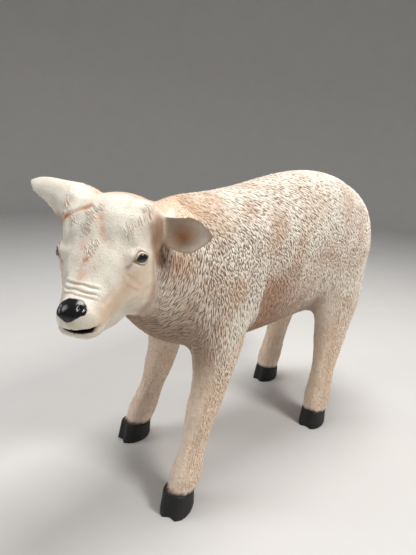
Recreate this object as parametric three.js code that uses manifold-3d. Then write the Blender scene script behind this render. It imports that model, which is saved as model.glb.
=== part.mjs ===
// A life-size standing lamb: a painted, cast-resin statue.
//
// Axes: +Z up, the lamb faces -Y and its left side is +X.  Lengths are millimetres.
// The body is sculpted as one rounded form and parted with thin flat cuts into head,
// neck, trunk, tail and legs.  The origin is on the floor below the middle of the lamb.

import * as THREE from "three";
import { mergeVertices } from "three/addons/utils/BufferGeometryUtils.js";
import Module from "manifold-3d";

const wasm = await Module();
wasm.setup();

// ---------------------------------------------------------------- driving dimensions

const GAP = 0.3; // clear space left between two neighbouring pieces

// Trunk: slices from the brisket to the rump, each with its place along the body,
// the height of the back and of the belly above the floor, and half the width.
const TRUNK = [
  { y: -168, top: 402, bottom: 232, half: 62 },
  { y: -125, top: 417, bottom: 200, half: 82 },
  { y: -60, top: 424, bottom: 189, half: 92 },
  { y: 0, top: 432, bottom: 190, half: 97 },
  { y: 70, top: 446, bottom: 193, half: 99 },
  { y: 140, top: 457, bottom: 200, half: 96 },
  { y: 200, top: 455, bottom: 220, half: 92 },
  { y: 245, top: 437, bottom: 246, half: 84 },
];

// Neck: round slices from inside the shoulders to the back of the skull.
const NECK = [
  { at: [0, -120, 318], wide: 74, deep: 92 },
  { at: [0, -160, 330], wide: 54, deep: 76 },
  { at: [4, -190, 342], wide: 41, deep: 64 },
  { at: [10, -214, 350], wide: 34, deep: 54 },
];

// Head: its place between the eyes, and how it is turned.
const HEAD_CENTRE = [12, -256, 347];
const HEAD_YAW = 34; // degrees towards the lamb's left
const HEAD_PITCH = 26; // degrees that the head points down
const HEAD_TILT = -1; // degrees that the left ear drops

// Skull and muzzle: slices along the face, from the poll to the nose.
const SKULL = [
  { ahead: -54, rise: 2, wide: 54, deep: 50 },
  { ahead: -26, rise: -6, wide: 60, deep: 58 },
  { ahead: 7, rise: -11, wide: 53, deep: 50 },
  { ahead: 39, rise: -15, wide: 39, deep: 38 },
  { ahead: 66, rise: -17, wide: 30, deep: 30 },
  { ahead: 82, rise: -18, wide: 25, deep: 26 },
];

// Lower jaw: slices from the throat to the chin.
const JAW = [
  { ahead: -16, rise: -70, wide: 30, deep: 20 },
  { ahead: 15, rise: -62, wide: 27, deep: 19 },
  { ahead: 42, rise: -53, wide: 25, deep: 19 },
  { ahead: 66, rise: -45, wide: 19, deep: 15 },
  { ahead: 83, rise: -40, wide: 14, deep: 12 },
];

// Mouth: a wedge, shut at its corner and open at the lips.
const MOUTH_CORNER = 66; // ahead of the head's centre
const MOUTH_CORNER_RISE = -25;
const MOUTH_FRONT = 100;
const MOUTH_FRONT_RISE = -19;
const MOUTH_OPENING = 4.5;

// Nose pad: an ellipsoid that takes the front of the muzzle.
const NOSE_CENTRE = [0, 99, 6];
const NOSE_RADII = [18, 13, 11];

// Ears, in the head's frame (left, ahead, up): the left one swings forwards with its
// hollow to the front, the right one is held back and up with its hollow below.
const EAR_HALF_WIDTH = 23;
const EAR_THICKNESS = 5;
const EAR_ROOT_THICKNESS = 28;
const EAR_CUP = 14; // depth of the hollow of the ear
const EAR_CLEARANCE = 0.8; // clear space between an ear and the head
const EARS = {
  left: {
    side: 1,
    root: [46, -39, 21.5],
    along: [0.972, 0.226, 0.072],
    length: 89,
    opening: [0.3, 0.7, 0.5], // the way the hollow faces
    rootHalfWidth: 19,
    droop: 4,
    bluntness: 6, // how late the ear narrows to its tip
  },
  right: {
    side: -1,
    root: [-38, -44, 39],
    along: [-0.938, -0.274, 0.224],
    length: 97,
    opening: [0, -0.3, -1],
    rootHalfWidth: 34,
    droop: 3,
    bluntness: 2.6,
  },
};

// Eyes
const EYE_RADIUS = 11;
const EYE_BULGE = 0.8; // how far the eyeball stands out of the head
const EYE_AHEAD = 8;
const EYE_RISE = 9.5;

// Legs: slices from inside the hoof up into the body, one list for each leg.
const LEGS = {
  front_left: [
    { at: [88, -188, 18], wide: 18, deep: 21 },
    { at: [87, -180, 45], wide: 20, deep: 23 },
    { at: [84, -165, 84], wide: 18, deep: 21 },
    { at: [81, -149, 125], wide: 20, deep: 24 },
    { at: [77, -130, 172], wide: 25, deep: 31 },
    { at: [68, -112, 225], wide: 31, deep: 46 },
    { at: [54, -100, 290], wide: 36, deep: 56 },
  ],
  front_right: [
    { at: [-88, -139, 18], wide: 18, deep: 21 },
    { at: [-88, -131, 42], wide: 20, deep: 24 },
    { at: [-86, -112, 84], wide: 19, deep: 23 },
    { at: [-82, -98, 125], wide: 21, deep: 26 },
    { at: [-77, -90, 172], wide: 25, deep: 32 },
    { at: [-68, -92, 225], wide: 31, deep: 46 },
    { at: [-54, -96, 290], wide: 36, deep: 56 },
  ],
  hind_left: [
    { at: [85, 138, 18], wide: 20, deep: 25 },
    { at: [85, 143, 45], wide: 21, deep: 27 },
    { at: [84, 152, 100], wide: 20, deep: 28 },
    { at: [82, 166, 150], wide: 22, deep: 36 },
    { at: [76, 180, 195], wide: 28, deep: 48 },
    { at: [64, 200, 245], wide: 38, deep: 68 },
    { at: [50, 218, 320], wide: 42, deep: 78 },
  ],
  hind_right: [
    { at: [-86, 206, 18], wide: 20, deep: 25 },
    { at: [-86, 212, 45], wide: 21, deep: 27 },
    { at: [-86, 229, 100], wide: 21, deep: 28 },
    { at: [-84, 241, 150], wide: 22, deep: 36 },
    { at: [-77, 240, 195], wide: 28, deep: 48 },
    { at: [-64, 230, 245], wide: 38, deep: 68 },
    { at: [-50, 226, 320], wide: 42, deep: 76 },
  ],
};
const KNEE_SLICE = 3; // the slice at the knee or the hock, where a leg is parted

// Hooves: where each one stands, and how far its toe turns to the lamb's left.
const HOOVES = {
  front_left: { x: 88, y: -195, turn: 24 },
  front_right: { x: -88, y: -147, turn: -4 },
  hind_left: { x: 85, y: 133, turn: 8 },
  hind_right: { x: -86, y: 202, turn: -6 },
};
const HOOF_LENGTH = 58;
const HOOF_WIDTH = 46;
const HOOF_TOE_HEIGHT = 33;
const HOOF_HEEL_HEIGHT = 26;
const HOOF_CLEFT = 6; // depth of the notch between the two claws
const HOOF_CLEFT_WIDTH = 4;
const HOOF_TOP_SCALE = 0.84; // the hoof's girth at its top, against its sole
const HOOF_LEAN = 7; // how far the wall leans back on its way up
const SOLE_BEVEL = 0.93; // the sole's girth, against the wall just above it
const SOLE_BEVEL_RISE = 4;

// Tail: slices from the dock down to the tip.
const TAIL = [
  { at: [0, 296, 416], wide: 17, deep: 13 },
  { at: [0, 321, 380], wide: 21, deep: 14 },
  { at: [0, 333, 322], wide: 23, deep: 15 },
  { at: [0, 329, 268], wide: 21, deep: 14 },
  { at: [0, 320, 226], wide: 15, deep: 11 },
];
const TAIL_STRIP = 48; // width of the strip of rump that the tail takes with it

// Sizes of the cells that the surface is worked out in, along X, Y and Z.
const TRUNK_CELL = [22.4, 27, 21.6];
const NECK_CELL = [18, 18, 18];
const HEAD_CELL = [10, 10, 10];
const JAW_CELL = [9, 9, 9];
const NOSE_CELL = [7.5, 7.5, 7.5];
const LEG_CELL = [13.3, 15.3, 22.6];
const TAIL_CELL = [12, 12, 18];

// ---------------------------------------------------------------- vectors

const add = (a, b) => [a[0] + b[0], a[1] + b[1], a[2] + b[2]];
const subtract = (a, b) => [a[0] - b[0], a[1] - b[1], a[2] - b[2]];
const scale = (a, factor) => [a[0] * factor, a[1] * factor, a[2] * factor];
const dot = (a, b) => a[0] * b[0] + a[1] * b[1] + a[2] * b[2];
const cross = (a, b) => [
  a[1] * b[2] - a[2] * b[1],
  a[2] * b[0] - a[0] * b[2],
  a[0] * b[1] - a[1] * b[0],
];
const unit = (a) => scale(a, 1 / Math.hypot(a[0], a[1], a[2]));
const mix = (a, b, share) => a + (b - a) * share;
const radians = THREE.MathUtils.degToRad;

// ---------------------------------------------------------------- rounded fields
// A field is a function of a point: below zero inside the form, above zero outside it,
// and close to the distance from the surface.

// Distance to an ellipsoid, from the point's coordinates on its three half-axes.
function ellipsoidDistance(x, y, z, a, b, c) {
  const reach = Math.hypot(x / a, y / b, z / c);
  const slope = Math.hypot(x / (a * a), y / (b * b), z / (c * c));
  if (slope < 1e-9) return -Math.min(a, b, c);
  return (reach * (reach - 1)) / slope;
}

// An ellipsoid with its own left, forward and up directions.
function ellipsoid(centre, radii, frame) {
  return (point) => {
    const offset = subtract(point, centre);
    const along = frame.map((axis) => dot(offset, axis));
    return ellipsoidDistance(...along, ...radii);
  };
}

// Smooth values between the slices of a limb.
function spline(values, share) {
  const spot = share * (values.length - 1);
  const low = Math.min(Math.floor(spot), values.length - 2);
  const pick = (i) => values[Math.max(0, Math.min(values.length - 1, i))];
  const t = spot - low;
  const [p0, p1, p2, p3] = [pick(low - 1), pick(low), pick(low + 1), pick(low + 2)];
  const bend = 2 * p0 - 5 * p1 + 4 * p2 - p3;
  const twist = 3 * p1 - p0 - 3 * p2 + p3;
  return 0.5 * (2 * p1 + (p2 - p0) * t + bend * t * t + twist * t * t * t);
}

// A limb: elliptical slices carried along a smooth path.  side is the direction in
// which a slice's "wide" is measured, and "deep" is square to it and to the path.
function limb(slices, side, stepsPerSlice = 3) {
  const total = (slices.length - 1) * stepsPerSlice;
  const value = (pick, share) => spline(slices.map(pick), share);
  const stops = [];
  for (let i = 0; i <= total; i += 1) {
    const share = i / total;
    stops.push({
      at: [0, 1, 2].map((axis) => value((slice) => slice.at[axis], share)),
      wide: value((slice) => slice.wide, share),
      deep: value((slice) => slice.deep, share),
    });
  }
  const links = stops.slice(1).map((stop, i) => limbLink(stops[i], stop, side));
  return (point) => Math.min(...links.map((link) => link(point)));
}

// One short length of a limb, with a rounded end at each side.
function limbLink(from, to, side) {
  const reach = subtract(to.at, from.at);
  const length = Math.hypot(...reach);
  const along = scale(reach, 1 / length);
  const across = unit(subtract(side, scale(along, dot(side, along))));
  const square = cross(along, across);
  return (point) => {
    const offset = subtract(point, from.at);
    const spot = dot(offset, along);
    const share = Math.max(0, Math.min(1, spot / length));
    const wide = mix(from.wide, to.wide, share);
    const deep = mix(from.deep, to.deep, share);
    const past = spot - share * length;
    const round = Math.min(wide, deep);
    return ellipsoidDistance(dot(offset, across), dot(offset, square), past, wide, deep, round);
  };
}

// Joins two fields with a fillet about as wide as "blend".
function blendTwo(first, second, blend) {
  const share = Math.max(0, Math.min(1, 0.5 + (second - first) / (2 * blend)));
  return mix(second, first, share) - blend * share * (1 - share);
}

// Joins many fields; each entry is [field, blend].
function blendAll(entries) {
  return (point) =>
    entries.reduce(
      (total, [field, blend]) => (total === null ? field(point) : blendTwo(total, field(point), blend)),
      null
    );
}

// ---------------------------------------------------------------- from field to solid

// The field's values on a lattice of cell corners.  The outermost corners count as
// outside, so that a form which runs out of the box is closed there.
function sampleField(field, low, high, cell) {
  const count = cell.map((step, axis) => Math.ceil((high[axis] - low[axis]) / step) + 1);
  const index = (i, j, k) => (k * count[1] + j) * count[0] + i;
  const corner = (i, j, k) => [low[0] + i * cell[0], low[1] + j * cell[1], low[2] + k * cell[2]];
  const outermost = (spot) => spot.some((n, axis) => n === 0 || n === count[axis] - 1);
  const values = new Float64Array(count[0] * count[1] * count[2]);
  for (let k = 0; k < count[2]; k += 1) {
    for (let j = 0; j < count[1]; j += 1) {
      for (let i = 0; i < count[0]; i += 1) {
        const value = field(corner(i, j, k));
        values[index(i, j, k)] = outermost([i, j, k]) ? Math.max(value, cell[0]) : value;
      }
    }
  }
  return { count, index, corner, values, cell };
}

const CELL_CORNERS = [0, 1, 2, 3, 4, 5, 6, 7].map((n) => [n & 1, (n >> 1) & 1, (n >> 2) & 1]);
const CELL_EDGES = CELL_CORNERS.flatMap((corner, n) =>
  [1, 2, 4].filter((step) => (n & step) === 0).map((step) => [n, n | step])
);

// The middle of the places where the surface crosses a cell's edges, or null.
function cellPoint(grid, i, j, k) {
  const ends = CELL_CORNERS.map(([a, b, c]) => ({
    at: grid.corner(i + a, j + b, k + c),
    value: grid.values[grid.index(i + a, j + b, k + c)],
  }));
  const crossings = CELL_EDGES.filter(([m, n]) => ends[m].value < 0 !== ends[n].value < 0).map(
    ([m, n]) => {
      const share = ends[m].value / (ends[m].value - ends[n].value);
      return [0, 1, 2].map((axis) => mix(ends[m].at[axis], ends[n].at[axis], share));
    }
  );
  if (crossings.length === 0) return null;
  return scale(crossings.reduce(add), 1 / crossings.length);
}

// Moves a point on to the surface along the field's slope.
function settle(field, point, furthest) {
  const probe = 0.5;
  let spot = point;
  for (let step = 0; step < 2; step += 1) {
    const value = field(spot);
    const slope = [0, 1, 2].map((axis) => {
      const shifted = spot.slice();
      shifted[axis] += probe;
      return (field(shifted) - value) / probe;
    });
    const steepness = Math.max(dot(slope, slope), 0.2);
    const move = scale(slope, -value / steepness);
    const size = Math.hypot(...move);
    spot = add(spot, scale(move, Math.min(1, furthest / Math.max(size, 1e-9))));
  }
  return spot;
}

// A closed surface round a field: one point in each cell that the surface crosses, and
// one four-sided face round each lattice edge that it crosses.
function fieldSolid(field, low, high, cell) {
  const grid = sampleField(field, low, high, cell);
  const [nx, ny, nz] = grid.count;
  const vertexOf = new Int32Array(grid.values.length).fill(-1);
  const points = [];
  for (let k = 0; k < nz - 1; k += 1) {
    for (let j = 0; j < ny - 1; j += 1) {
      for (let i = 0; i < nx - 1; i += 1) {
        const point = cellPoint(grid, i, j, k);
        if (point === null) continue;
        vertexOf[grid.index(i, j, k)] = points.length;
        points.push(settle(field, point, 0.45 * Math.min(...cell)));
      }
    }
  }
  return toSolid(points.flat(), latticeFaces(grid, vertexOf, points));
}

// Two triangles round each lattice edge that joins an inside corner to an outside one.
function latticeFaces(grid, vertexOf, points) {
  const faces = [];
  for (let k = 0; k < grid.count[2] - 1; k += 1) {
    for (let j = 0; j < grid.count[1] - 1; j += 1) {
      for (let i = 0; i < grid.count[0] - 1; i += 1) {
        for (let axis = 0; axis < 3; axis += 1) {
          faces.push(...edgeFaces(grid, vertexOf, points, [i, j, k], axis));
        }
      }
    }
  }
  return faces;
}

const STEPS = [[1, 0, 0], [0, 1, 0], [0, 0, 1]];

// The two triangles round one lattice edge, or none where it doesn't cross the surface.
function edgeFaces(grid, vertexOf, points, spot, axis) {
  const [first, second] = [(axis + 1) % 3, (axis + 2) % 3];
  if (spot[first] === 0 || spot[second] === 0) return [];
  const here = grid.values[grid.index(...spot)] < 0;
  const next = grid.values[grid.index(...add(spot, STEPS[axis]))] < 0;
  if (here === next) return [];
  const [u, v] = [STEPS[first], STEPS[second]];
  const cells = [add(scale(u, -1), scale(v, -1)), scale(v, -1), [0, 0, 0], scale(u, -1)];
  const ring = cells.map((shift) => vertexOf[grid.index(...add(spot, shift))]);
  return splitSquare(here ? ring : ring.reverse(), points);
}

// Splits a four-sided face along its shorter diagonal.
function splitSquare([a, b, c, d], points) {
  const span = (m, n) => Math.hypot(...subtract(points[m], points[n]));
  return span(a, c) < span(b, d) ? [a, b, c, a, c, d] : [a, b, d, b, c, d];
}

function toSolid(positions, triangles) {
  const mesh = new wasm.Mesh({
    numProp: 3,
    vertProperties: Float32Array.from(positions),
    triVerts: Uint32Array.from(triangles),
  });
  return new wasm.Manifold(mesh);
}

// A three.js shape as a solid.
function geometrySolid(geometry) {
  geometry.deleteAttribute("normal");
  geometry.deleteAttribute("uv");
  const merged = mergeVertices(geometry, 1e-4);
  return toSolid(merged.attributes.position.array, merged.index.array);
}

// A closed surface from a function of two shares: along from 0 to 1, and round from 0
// to 1.  The two ends are closed by fans round their middles.
function tubeSolid(place, alongSteps, roundSteps) {
  const positions = [];
  const triangles = [];
  for (let i = 0; i <= alongSteps; i += 1) {
    for (let j = 0; j < roundSteps; j += 1) {
      positions.push(...place(i / alongSteps, j / roundSteps));
    }
  }
  const spot = (i, j) => i * roundSteps + (j % roundSteps);
  for (let i = 0; i < alongSteps; i += 1) {
    for (let j = 0; j < roundSteps; j += 1) {
      triangles.push(spot(i, j), spot(i, j + 1), spot(i + 1, j + 1));
      triangles.push(spot(i, j), spot(i + 1, j + 1), spot(i + 1, j));
    }
  }
  for (const end of [0, alongSteps]) {
    const ring = Array.from({ length: roundSteps }, (_, j) => spot(end, j));
    const corners = ring.map((n) => positions.slice(3 * n, 3 * n + 3));
    const middle = positions.length / 3;
    positions.push(...scale(corners.reduce(add), 1 / roundSteps));
    ring.forEach((n, j) => {
      const next = ring[(j + 1) % roundSteps];
      triangles.push(...(end === 0 ? [middle, next, n] : [middle, n, next]));
    });
  }
  return toSolid(positions, triangles);
}

// All the space on the far side of a plane from the way that "facing" points.
function behindPlane(point, facing, shift = 0) {
  const size = 2000;
  const box = new THREE.BoxGeometry(size, size, size);
  box.translate(0, 0, -size / 2);
  const upright = new THREE.Vector3(0, 0, 1);
  const normal = new THREE.Vector3(...unit(facing));
  box.applyQuaternion(new THREE.Quaternion().setFromUnitVectors(upright, normal));
  box.translate(...add(point, scale(normal.toArray(), shift)));
  return geometrySolid(box);
}

const aheadOfPlane = (point, facing, shift = 0) => behindPlane(point, scale(facing, -1), shift);

// ---------------------------------------------------------------- head frame

const headTurn = () => {
  const [yaw, pitch, tilt] = [HEAD_YAW, HEAD_PITCH, HEAD_TILT].map(radians);
  const level = [Math.cos(yaw), Math.sin(yaw), 0];
  const ahead = [
    Math.sin(yaw) * Math.cos(pitch),
    -Math.cos(yaw) * Math.cos(pitch),
    -Math.sin(pitch),
  ];
  const upright = cross(ahead, level);
  const left = add(scale(level, Math.cos(tilt)), scale(upright, -Math.sin(tilt)));
  return { left, ahead, up: cross(ahead, left) };
};

const HEAD = headTurn();
const HEAD_AXES = [HEAD.left, HEAD.ahead, HEAD.up];

// A direction or a place given as left, ahead and up in the head's own frame.
const headWay = ([left, ahead, up]) =>
  add(add(scale(HEAD.left, left), scale(HEAD.ahead, ahead)), scale(HEAD.up, up));
const headPlace = (place) => add(HEAD_CENTRE, headWay(place));
const headBlob = (centre, radii) => ellipsoid(headPlace(centre), radii, HEAD_AXES);

// ---------------------------------------------------------------- the sculpted body

const ACROSS = [1, 0, 0];

const trunkSlices = TRUNK.map(({ y, top, bottom, half }) => ({
  at: [0, y, (top + bottom) / 2],
  wide: half,
  deep: (top - bottom) / 2,
}));

const headSlices = (slices) =>
  slices.map(({ ahead, rise, wide, deep }) => ({ at: headPlace([0, ahead, rise]), wide, deep }));

// Ear root, brow, cheek and lip, which are alike on both sides of the head.
const headSideFields = (side) => [
  [headBlob([side * 45, -38, 28], [19, 21, 25]), 14],
  [headBlob([side * 40, 4, 5], [17, 24, 18]), 9],
  [headBlob([side * 30, -16, -38], [28, 46, 41]), 12],
  [headBlob([side * 15, 86, -24], [13, 18, 15]), 8],
];

const headField = blendAll([
  [limb(headSlices(SKULL), HEAD.left), 10],
  [headBlob([0, -32, 26], [63, 44, 34]), 12],
  [headBlob([0, 95, -4], [19, 14, 14]), 8],
  [limb(headSlices(JAW), HEAD.left), 10],
  ...headSideFields(1),
  ...headSideFields(-1),
]);

const legFields = Object.values(LEGS).map((slices) => [limb(slices, ACROSS), 22]);

const bodyField = blendAll([
  [limb(trunkSlices, ACROSS), 10],
  [limb(NECK, ACROSS), 26],
  [headField, 12],
  ...legFields,
  [limb(TAIL, ACROSS), 8],
]);

// ---------------------------------------------------------------- parting cuts
// A cut is a point on it and the way that its far side lies.  Each side of a cut keeps
// half of the gap.

const NECK_CUT = { point: headPlace([0, -56, 0]), facing: headWay([0, 1, 0.15]) };
const THROAT_CUT = { point: headPlace([0, 0, -98]), facing: headWay([0, -0.1, 1]) };
const TEMPLE_CUT = { point: headPlace([58, -48, 0]), facing: headWay([-1, 1, 0.35]) };
const CHEST_CUT = { point: [0, -150, 330], facing: [0, -1, 0.25] };
const TAIL_CUT = { point: [0, 318, 320], facing: [0, 1, 0.1] };
const LEG_CUT_TILT = 35; // degrees that a leg's top cut rises outwards
const LEG_CUT_POINT = [60, 0, 205];

const beyond = ({ point, facing }, clear = GAP / 2) => aheadOfPlane(point, facing, -clear);
const before = ({ point, facing }, clear = GAP / 2) => behindPlane(point, facing, -clear);

const legCut = (side) => {
  const tilt = radians(LEG_CUT_TILT);
  return {
    point: [side * LEG_CUT_POINT[0], 0, LEG_CUT_POINT[2]],
    facing: [-side * Math.sin(tilt), 0, Math.cos(tilt)],
  };
};

// The strip behind the tail's cut.  A negative "clear" makes it wider than the tail.
const tailSpace = (clear) =>
  beyond(TAIL_CUT, clear)
    .intersect(before({ point: [TAIL_STRIP / 2, 0, 0], facing: [1, 0, 0] }, clear))
    .intersect(before({ point: [-TAIL_STRIP / 2, 0, 0], facing: [-1, 0, 0] }, clear));

const headSpace = (clear) =>
  beyond(NECK_CUT, clear)
    .intersect(beyond(THROAT_CUT, clear))
    .intersect(beyond(TEMPLE_CUT, clear));

// The lower jaw lies ahead of the mouth's corner and below its floor; the head stops at
// its roof.
const mouthPlane = (frontRise) => {
  const run = MOUTH_FRONT - MOUTH_CORNER;
  const climb = frontRise - MOUTH_CORNER_RISE;
  const facing = headWay([0, -climb / run, 1]);
  return { point: headPlace([0, MOUTH_CORNER, MOUTH_CORNER_RISE]), facing };
};
const MOUTH_END = { point: headPlace([0, MOUTH_CORNER, 0]), facing: HEAD.ahead };
const jawSpace = (frontRise, clear) =>
  before(mouthPlane(frontRise), clear).intersect(beyond(MOUTH_END, clear));

// A smooth ball squashed to three radii and turned with the head.
function headBall(centre, radii, grow) {
  const ball = new THREE.SphereGeometry(1, 12, 8);
  const spread = (i) => new THREE.Vector3(...scale(HEAD_AXES[i], radii[i] + grow));
  const basis = new THREE.Matrix4().makeBasis(spread(1), spread(0), spread(2));
  ball.applyMatrix4(basis);
  ball.translate(...headPlace(centre));
  return geometrySolid(ball);
}

// ---------------------------------------------------------------- eyes

// How far the head's surface lies from a point inside it.
function reachOfField(field, from, way) {
  let [inside, outside] = [0, 200];
  for (let step = 0; step < 30; step += 1) {
    const middle = (inside + outside) / 2;
    if (field(add(from, scale(way, middle))) < 0) inside = middle;
    else outside = middle;
  }
  return inside;
}

function eyeCentre(side) {
  const from = headPlace([0, EYE_AHEAD, EYE_RISE]);
  const way = scale(HEAD.left, side);
  const reach = reachOfField(headField, from, way);
  return [side * (reach - EYE_RADIUS + EYE_BULGE), EYE_AHEAD, EYE_RISE];
}

const eyeBall = (side, grow) => headBall(eyeCentre(side), Array(3).fill(EYE_RADIUS), grow);

// ---------------------------------------------------------------- ears

// A leaf-shaped cup: "along" runs from the root to the tip, and "round" once round the
// section, over the open face and back over the outer one.
function earSolid(ear) {
  const { side, root, rootHalfWidth, droop } = ear;
  const axis = unit(headWay(ear.along));
  const faced = headWay(ear.opening);
  const open = unit(subtract(faced, scale(axis, dot(faced, axis))));
  const across = cross(open, axis);
  const place = (along, round) => {
    const angle = 2 * Math.PI * round;
    const taper = Math.sqrt(1 - along ** ear.bluntness) + 0.05;
    const leaf = Math.sin(Math.PI * along ** 1.4) ** 2;
    const width = mix(rootHalfWidth * (1 - 0.45 * along), EAR_HALF_WIDTH, leaf) * taper;
    const flesh = mix(EAR_ROOT_THICKNESS, EAR_THICKNESS, Math.min(1, along * 2)) * taper;
    const hollow = EAR_CUP * Math.sin(Math.PI * along ** 0.8);
    const depth = (flesh / 2) * Math.sin(angle) - hollow * Math.sin(angle) ** 2;
    const sideways = width * Math.cos(angle) - side * droop * Math.sin(Math.PI * along);
    const spot = add(headPlace(root), scale(axis, ear.length * along));
    return add(add(spot, scale(across, sideways)), scale(open, depth));
  };
  return tubeSolid(place, 8, 12);
}

// ---------------------------------------------------------------- hooves

// A cloven hoof, with a flat sole, a notch at the toe and a wall that leans back.
function hoofSolid({ x, y, turn }) {
  const toe = [Math.sin(radians(turn)), -Math.cos(radians(turn)), 0];
  const across = [Math.cos(radians(turn)), Math.sin(radians(turn)), 0];
  const rows = 3;
  const spare = 8; // height that the slanted cut at the top takes away
  const boxy = 0.8; // below one, the outline is squarer than an ellipse
  const height = HOOF_TOE_HEIGHT + spare;
  const place = (up, round) => {
    const angle = 2 * Math.PI * round;
    const [forth, out] = [Math.cos(angle), Math.sin(angle)];
    const size = (up === 0 ? SOLE_BEVEL : 1) * mix(1, HOOF_TOP_SCALE, up);
    const sideways = (HOOF_WIDTH / 2) * size * Math.sign(out) * Math.abs(out) ** boxy;
    const notch = forth > 0 ? HOOF_CLEFT * Math.exp(-((sideways / HOOF_CLEFT_WIDTH) ** 2)) : 0;
    const forwards = (HOOF_LENGTH / 2) * size * forth - notch - HOOF_LEAN * up;
    const wall = (up * rows - 1) / (rows - 1);
    const rise = up === 0 ? 0 : mix(SOLE_BEVEL_RISE, height, wall);
    return add([x, y, rise], add(scale(toe, forwards), scale(across, sideways)));
  };
  return tubeSolid(place, rows, 16);
}

// The slanted cut between a leg and its hoof: high at the toe, low at the heel.
function hoofCut({ x, y, turn }) {
  const slant = (HOOF_TOE_HEIGHT - HOOF_HEEL_HEIGHT) / HOOF_LENGTH;
  const toe = [Math.sin(radians(turn)), -Math.cos(radians(turn)), 0];
  const middle = (HOOF_TOE_HEIGHT + HOOF_HEEL_HEIGHT) / 2;
  return { point: [x, y, middle], facing: subtract([0, 0, 1], scale(toe, slant)) };
}

// ---------------------------------------------------------------- legs

// One leg from its hoof up to the belly, as [lower, upper].
function legSolids(name) {
  const slices = LEGS[name];
  const side = name.endsWith("left") ? 1 : -1;
  const shown = slices.slice(0, 6);
  const margin = 30;
  const front = Math.min(...shown.map(({ at, deep }) => at[1] - deep)) - margin;
  const back = Math.max(...shown.map(({ at, deep }) => at[1] + deep)) + margin;
  const [inner, outer] = [side * 4, side * 130];
  const low = [Math.min(inner, outer), front, -margin];
  const high = [Math.max(inner, outer), back, 280];
  const whole = fieldSolid(bodyField, low, high, LEG_CELL)
    .intersect(before(legCut(side)))
    .intersect(beyond(hoofCut(HOOVES[name])));
  const shin = subtract(slices[KNEE_SLICE + 1].at, slices[KNEE_SLICE - 1].at);
  const kneeCut = { point: slices[KNEE_SLICE].at, facing: unit(shin) };
  return [whole.intersect(before(kneeCut)), whole.intersect(beyond(kneeCut))];
}

// ---------------------------------------------------------------- the finished group

const lamb = new THREE.Group();

const COAT_PAINT = { color: 0xe9d8c4, roughness: 0.7 };
const FACE_PAINT = { color: 0xeee6dc, roughness: 0.55 };
const HOOF_PAINT = { color: 0x1b1c1e, roughness: 0.6 };
const GLOSS_PAINT = { color: 0x0c0c0e, roughness: 0.15 };

function node(name, solid, paint) {
  const mesh = solid.getMesh();
  const geometry = new THREE.BufferGeometry();
  geometry.setAttribute("position", new THREE.BufferAttribute(mesh.vertProperties, 3));
  geometry.setIndex(new THREE.BufferAttribute(mesh.triVerts, 1));
  const piece = new THREE.Mesh(geometry, new THREE.MeshStandardMaterial(paint));
  piece.name = name;
  lamb.add(piece);
}

const trunk = fieldSolid(bodyField, [-130, -250, 140], [132, 360, 480], TRUNK_CELL)
  .intersect(before(CHEST_CUT))
  .intersect(beyond(legCut(1)))
  .intersect(beyond(legCut(-1)))
  .subtract(tailSpace(-GAP / 2));
node("trunk", trunk, COAT_PAINT);

const NECK_LOW = [-120, -290, 180];
const NECK_HIGH = [120, -110, 460];
const neck = fieldSolid(bodyField, NECK_LOW, NECK_HIGH, NECK_CELL)
  .intersect(beyond(CHEST_CUT))
  .subtract(headSpace(-GAP / 2));
node("neck", neck, COAT_PAINT);

const tail = fieldSolid(bodyField, [-52, 290, 180], [52, 380, 440], TAIL_CELL)
  .intersect(tailSpace(GAP / 2));
node("tail", tail, COAT_PAINT);

const HEAD_LOW = [-130, -400, 210];
const HEAD_HIGH = [150, -110, 460];
const skull = fieldSolid(bodyField, HEAD_LOW, HEAD_HIGH, HEAD_CELL)
  .intersect(headSpace(GAP / 2))
  .subtract(headBall(NOSE_CENTRE, NOSE_RADII, GAP))
  .subtract(jawSpace(MOUTH_FRONT_RISE, -GAP / 2))
  .subtract(eyeBall(1, GAP))
  .subtract(eyeBall(-1, GAP));
node("head", skull, FACE_PAINT);

const jaw = fieldSolid(headField, HEAD_LOW, HEAD_HIGH, JAW_CELL)
  .intersect(headSpace(GAP / 2))
  .intersect(jawSpace(MOUTH_FRONT_RISE - MOUTH_OPENING, GAP / 2))
  .subtract(headBall(NOSE_CENTRE, NOSE_RADII, GAP));
node("lower_jaw", jaw, FACE_PAINT);

const nose = fieldSolid(headField, HEAD_LOW, HEAD_HIGH, NOSE_CELL)
  .intersect(headBall(NOSE_CENTRE, NOSE_RADII, 0));
node("nose", nose, GLOSS_PAINT);

// The ears stop just short of the head and of the neck.
const swollenField = (point) => bodyField(point) - EAR_CLEARANCE;
const headSwollen = fieldSolid(swollenField, HEAD_LOW, HEAD_HIGH, HEAD_CELL);
const neckSwollen = fieldSolid(swollenField, NECK_LOW, NECK_HIGH, NECK_CELL);
for (const [name, ear] of Object.entries(EARS)) {
  node(`ear_${name}`, earSolid(ear).subtract(headSwollen).subtract(neckSwollen), FACE_PAINT);
  node(`eye_${name}`, eyeBall(ear.side, 0), GLOSS_PAINT);
}

for (const name of Object.keys(LEGS)) {
  const [lower, upper] = legSolids(name);
  node(`leg_${name}_upper`, upper, COAT_PAINT);
  node(`leg_${name}_lower`, lower, COAT_PAINT);
  const hoof = hoofSolid(HOOVES[name]).intersect(before(hoofCut(HOOVES[name])));
  node(`hoof_${name}`, hoof, HOOF_PAINT);
}

// The origin goes on the floor, below the middle of the lamb.
const reach = new THREE.Box3().setFromObject(lamb, true);
lamb.position.set(-(reach.min.x + reach.max.x) / 2, -(reach.min.y + reach.max.y) / 2, -reach.min.z);

export default lamb;
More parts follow.
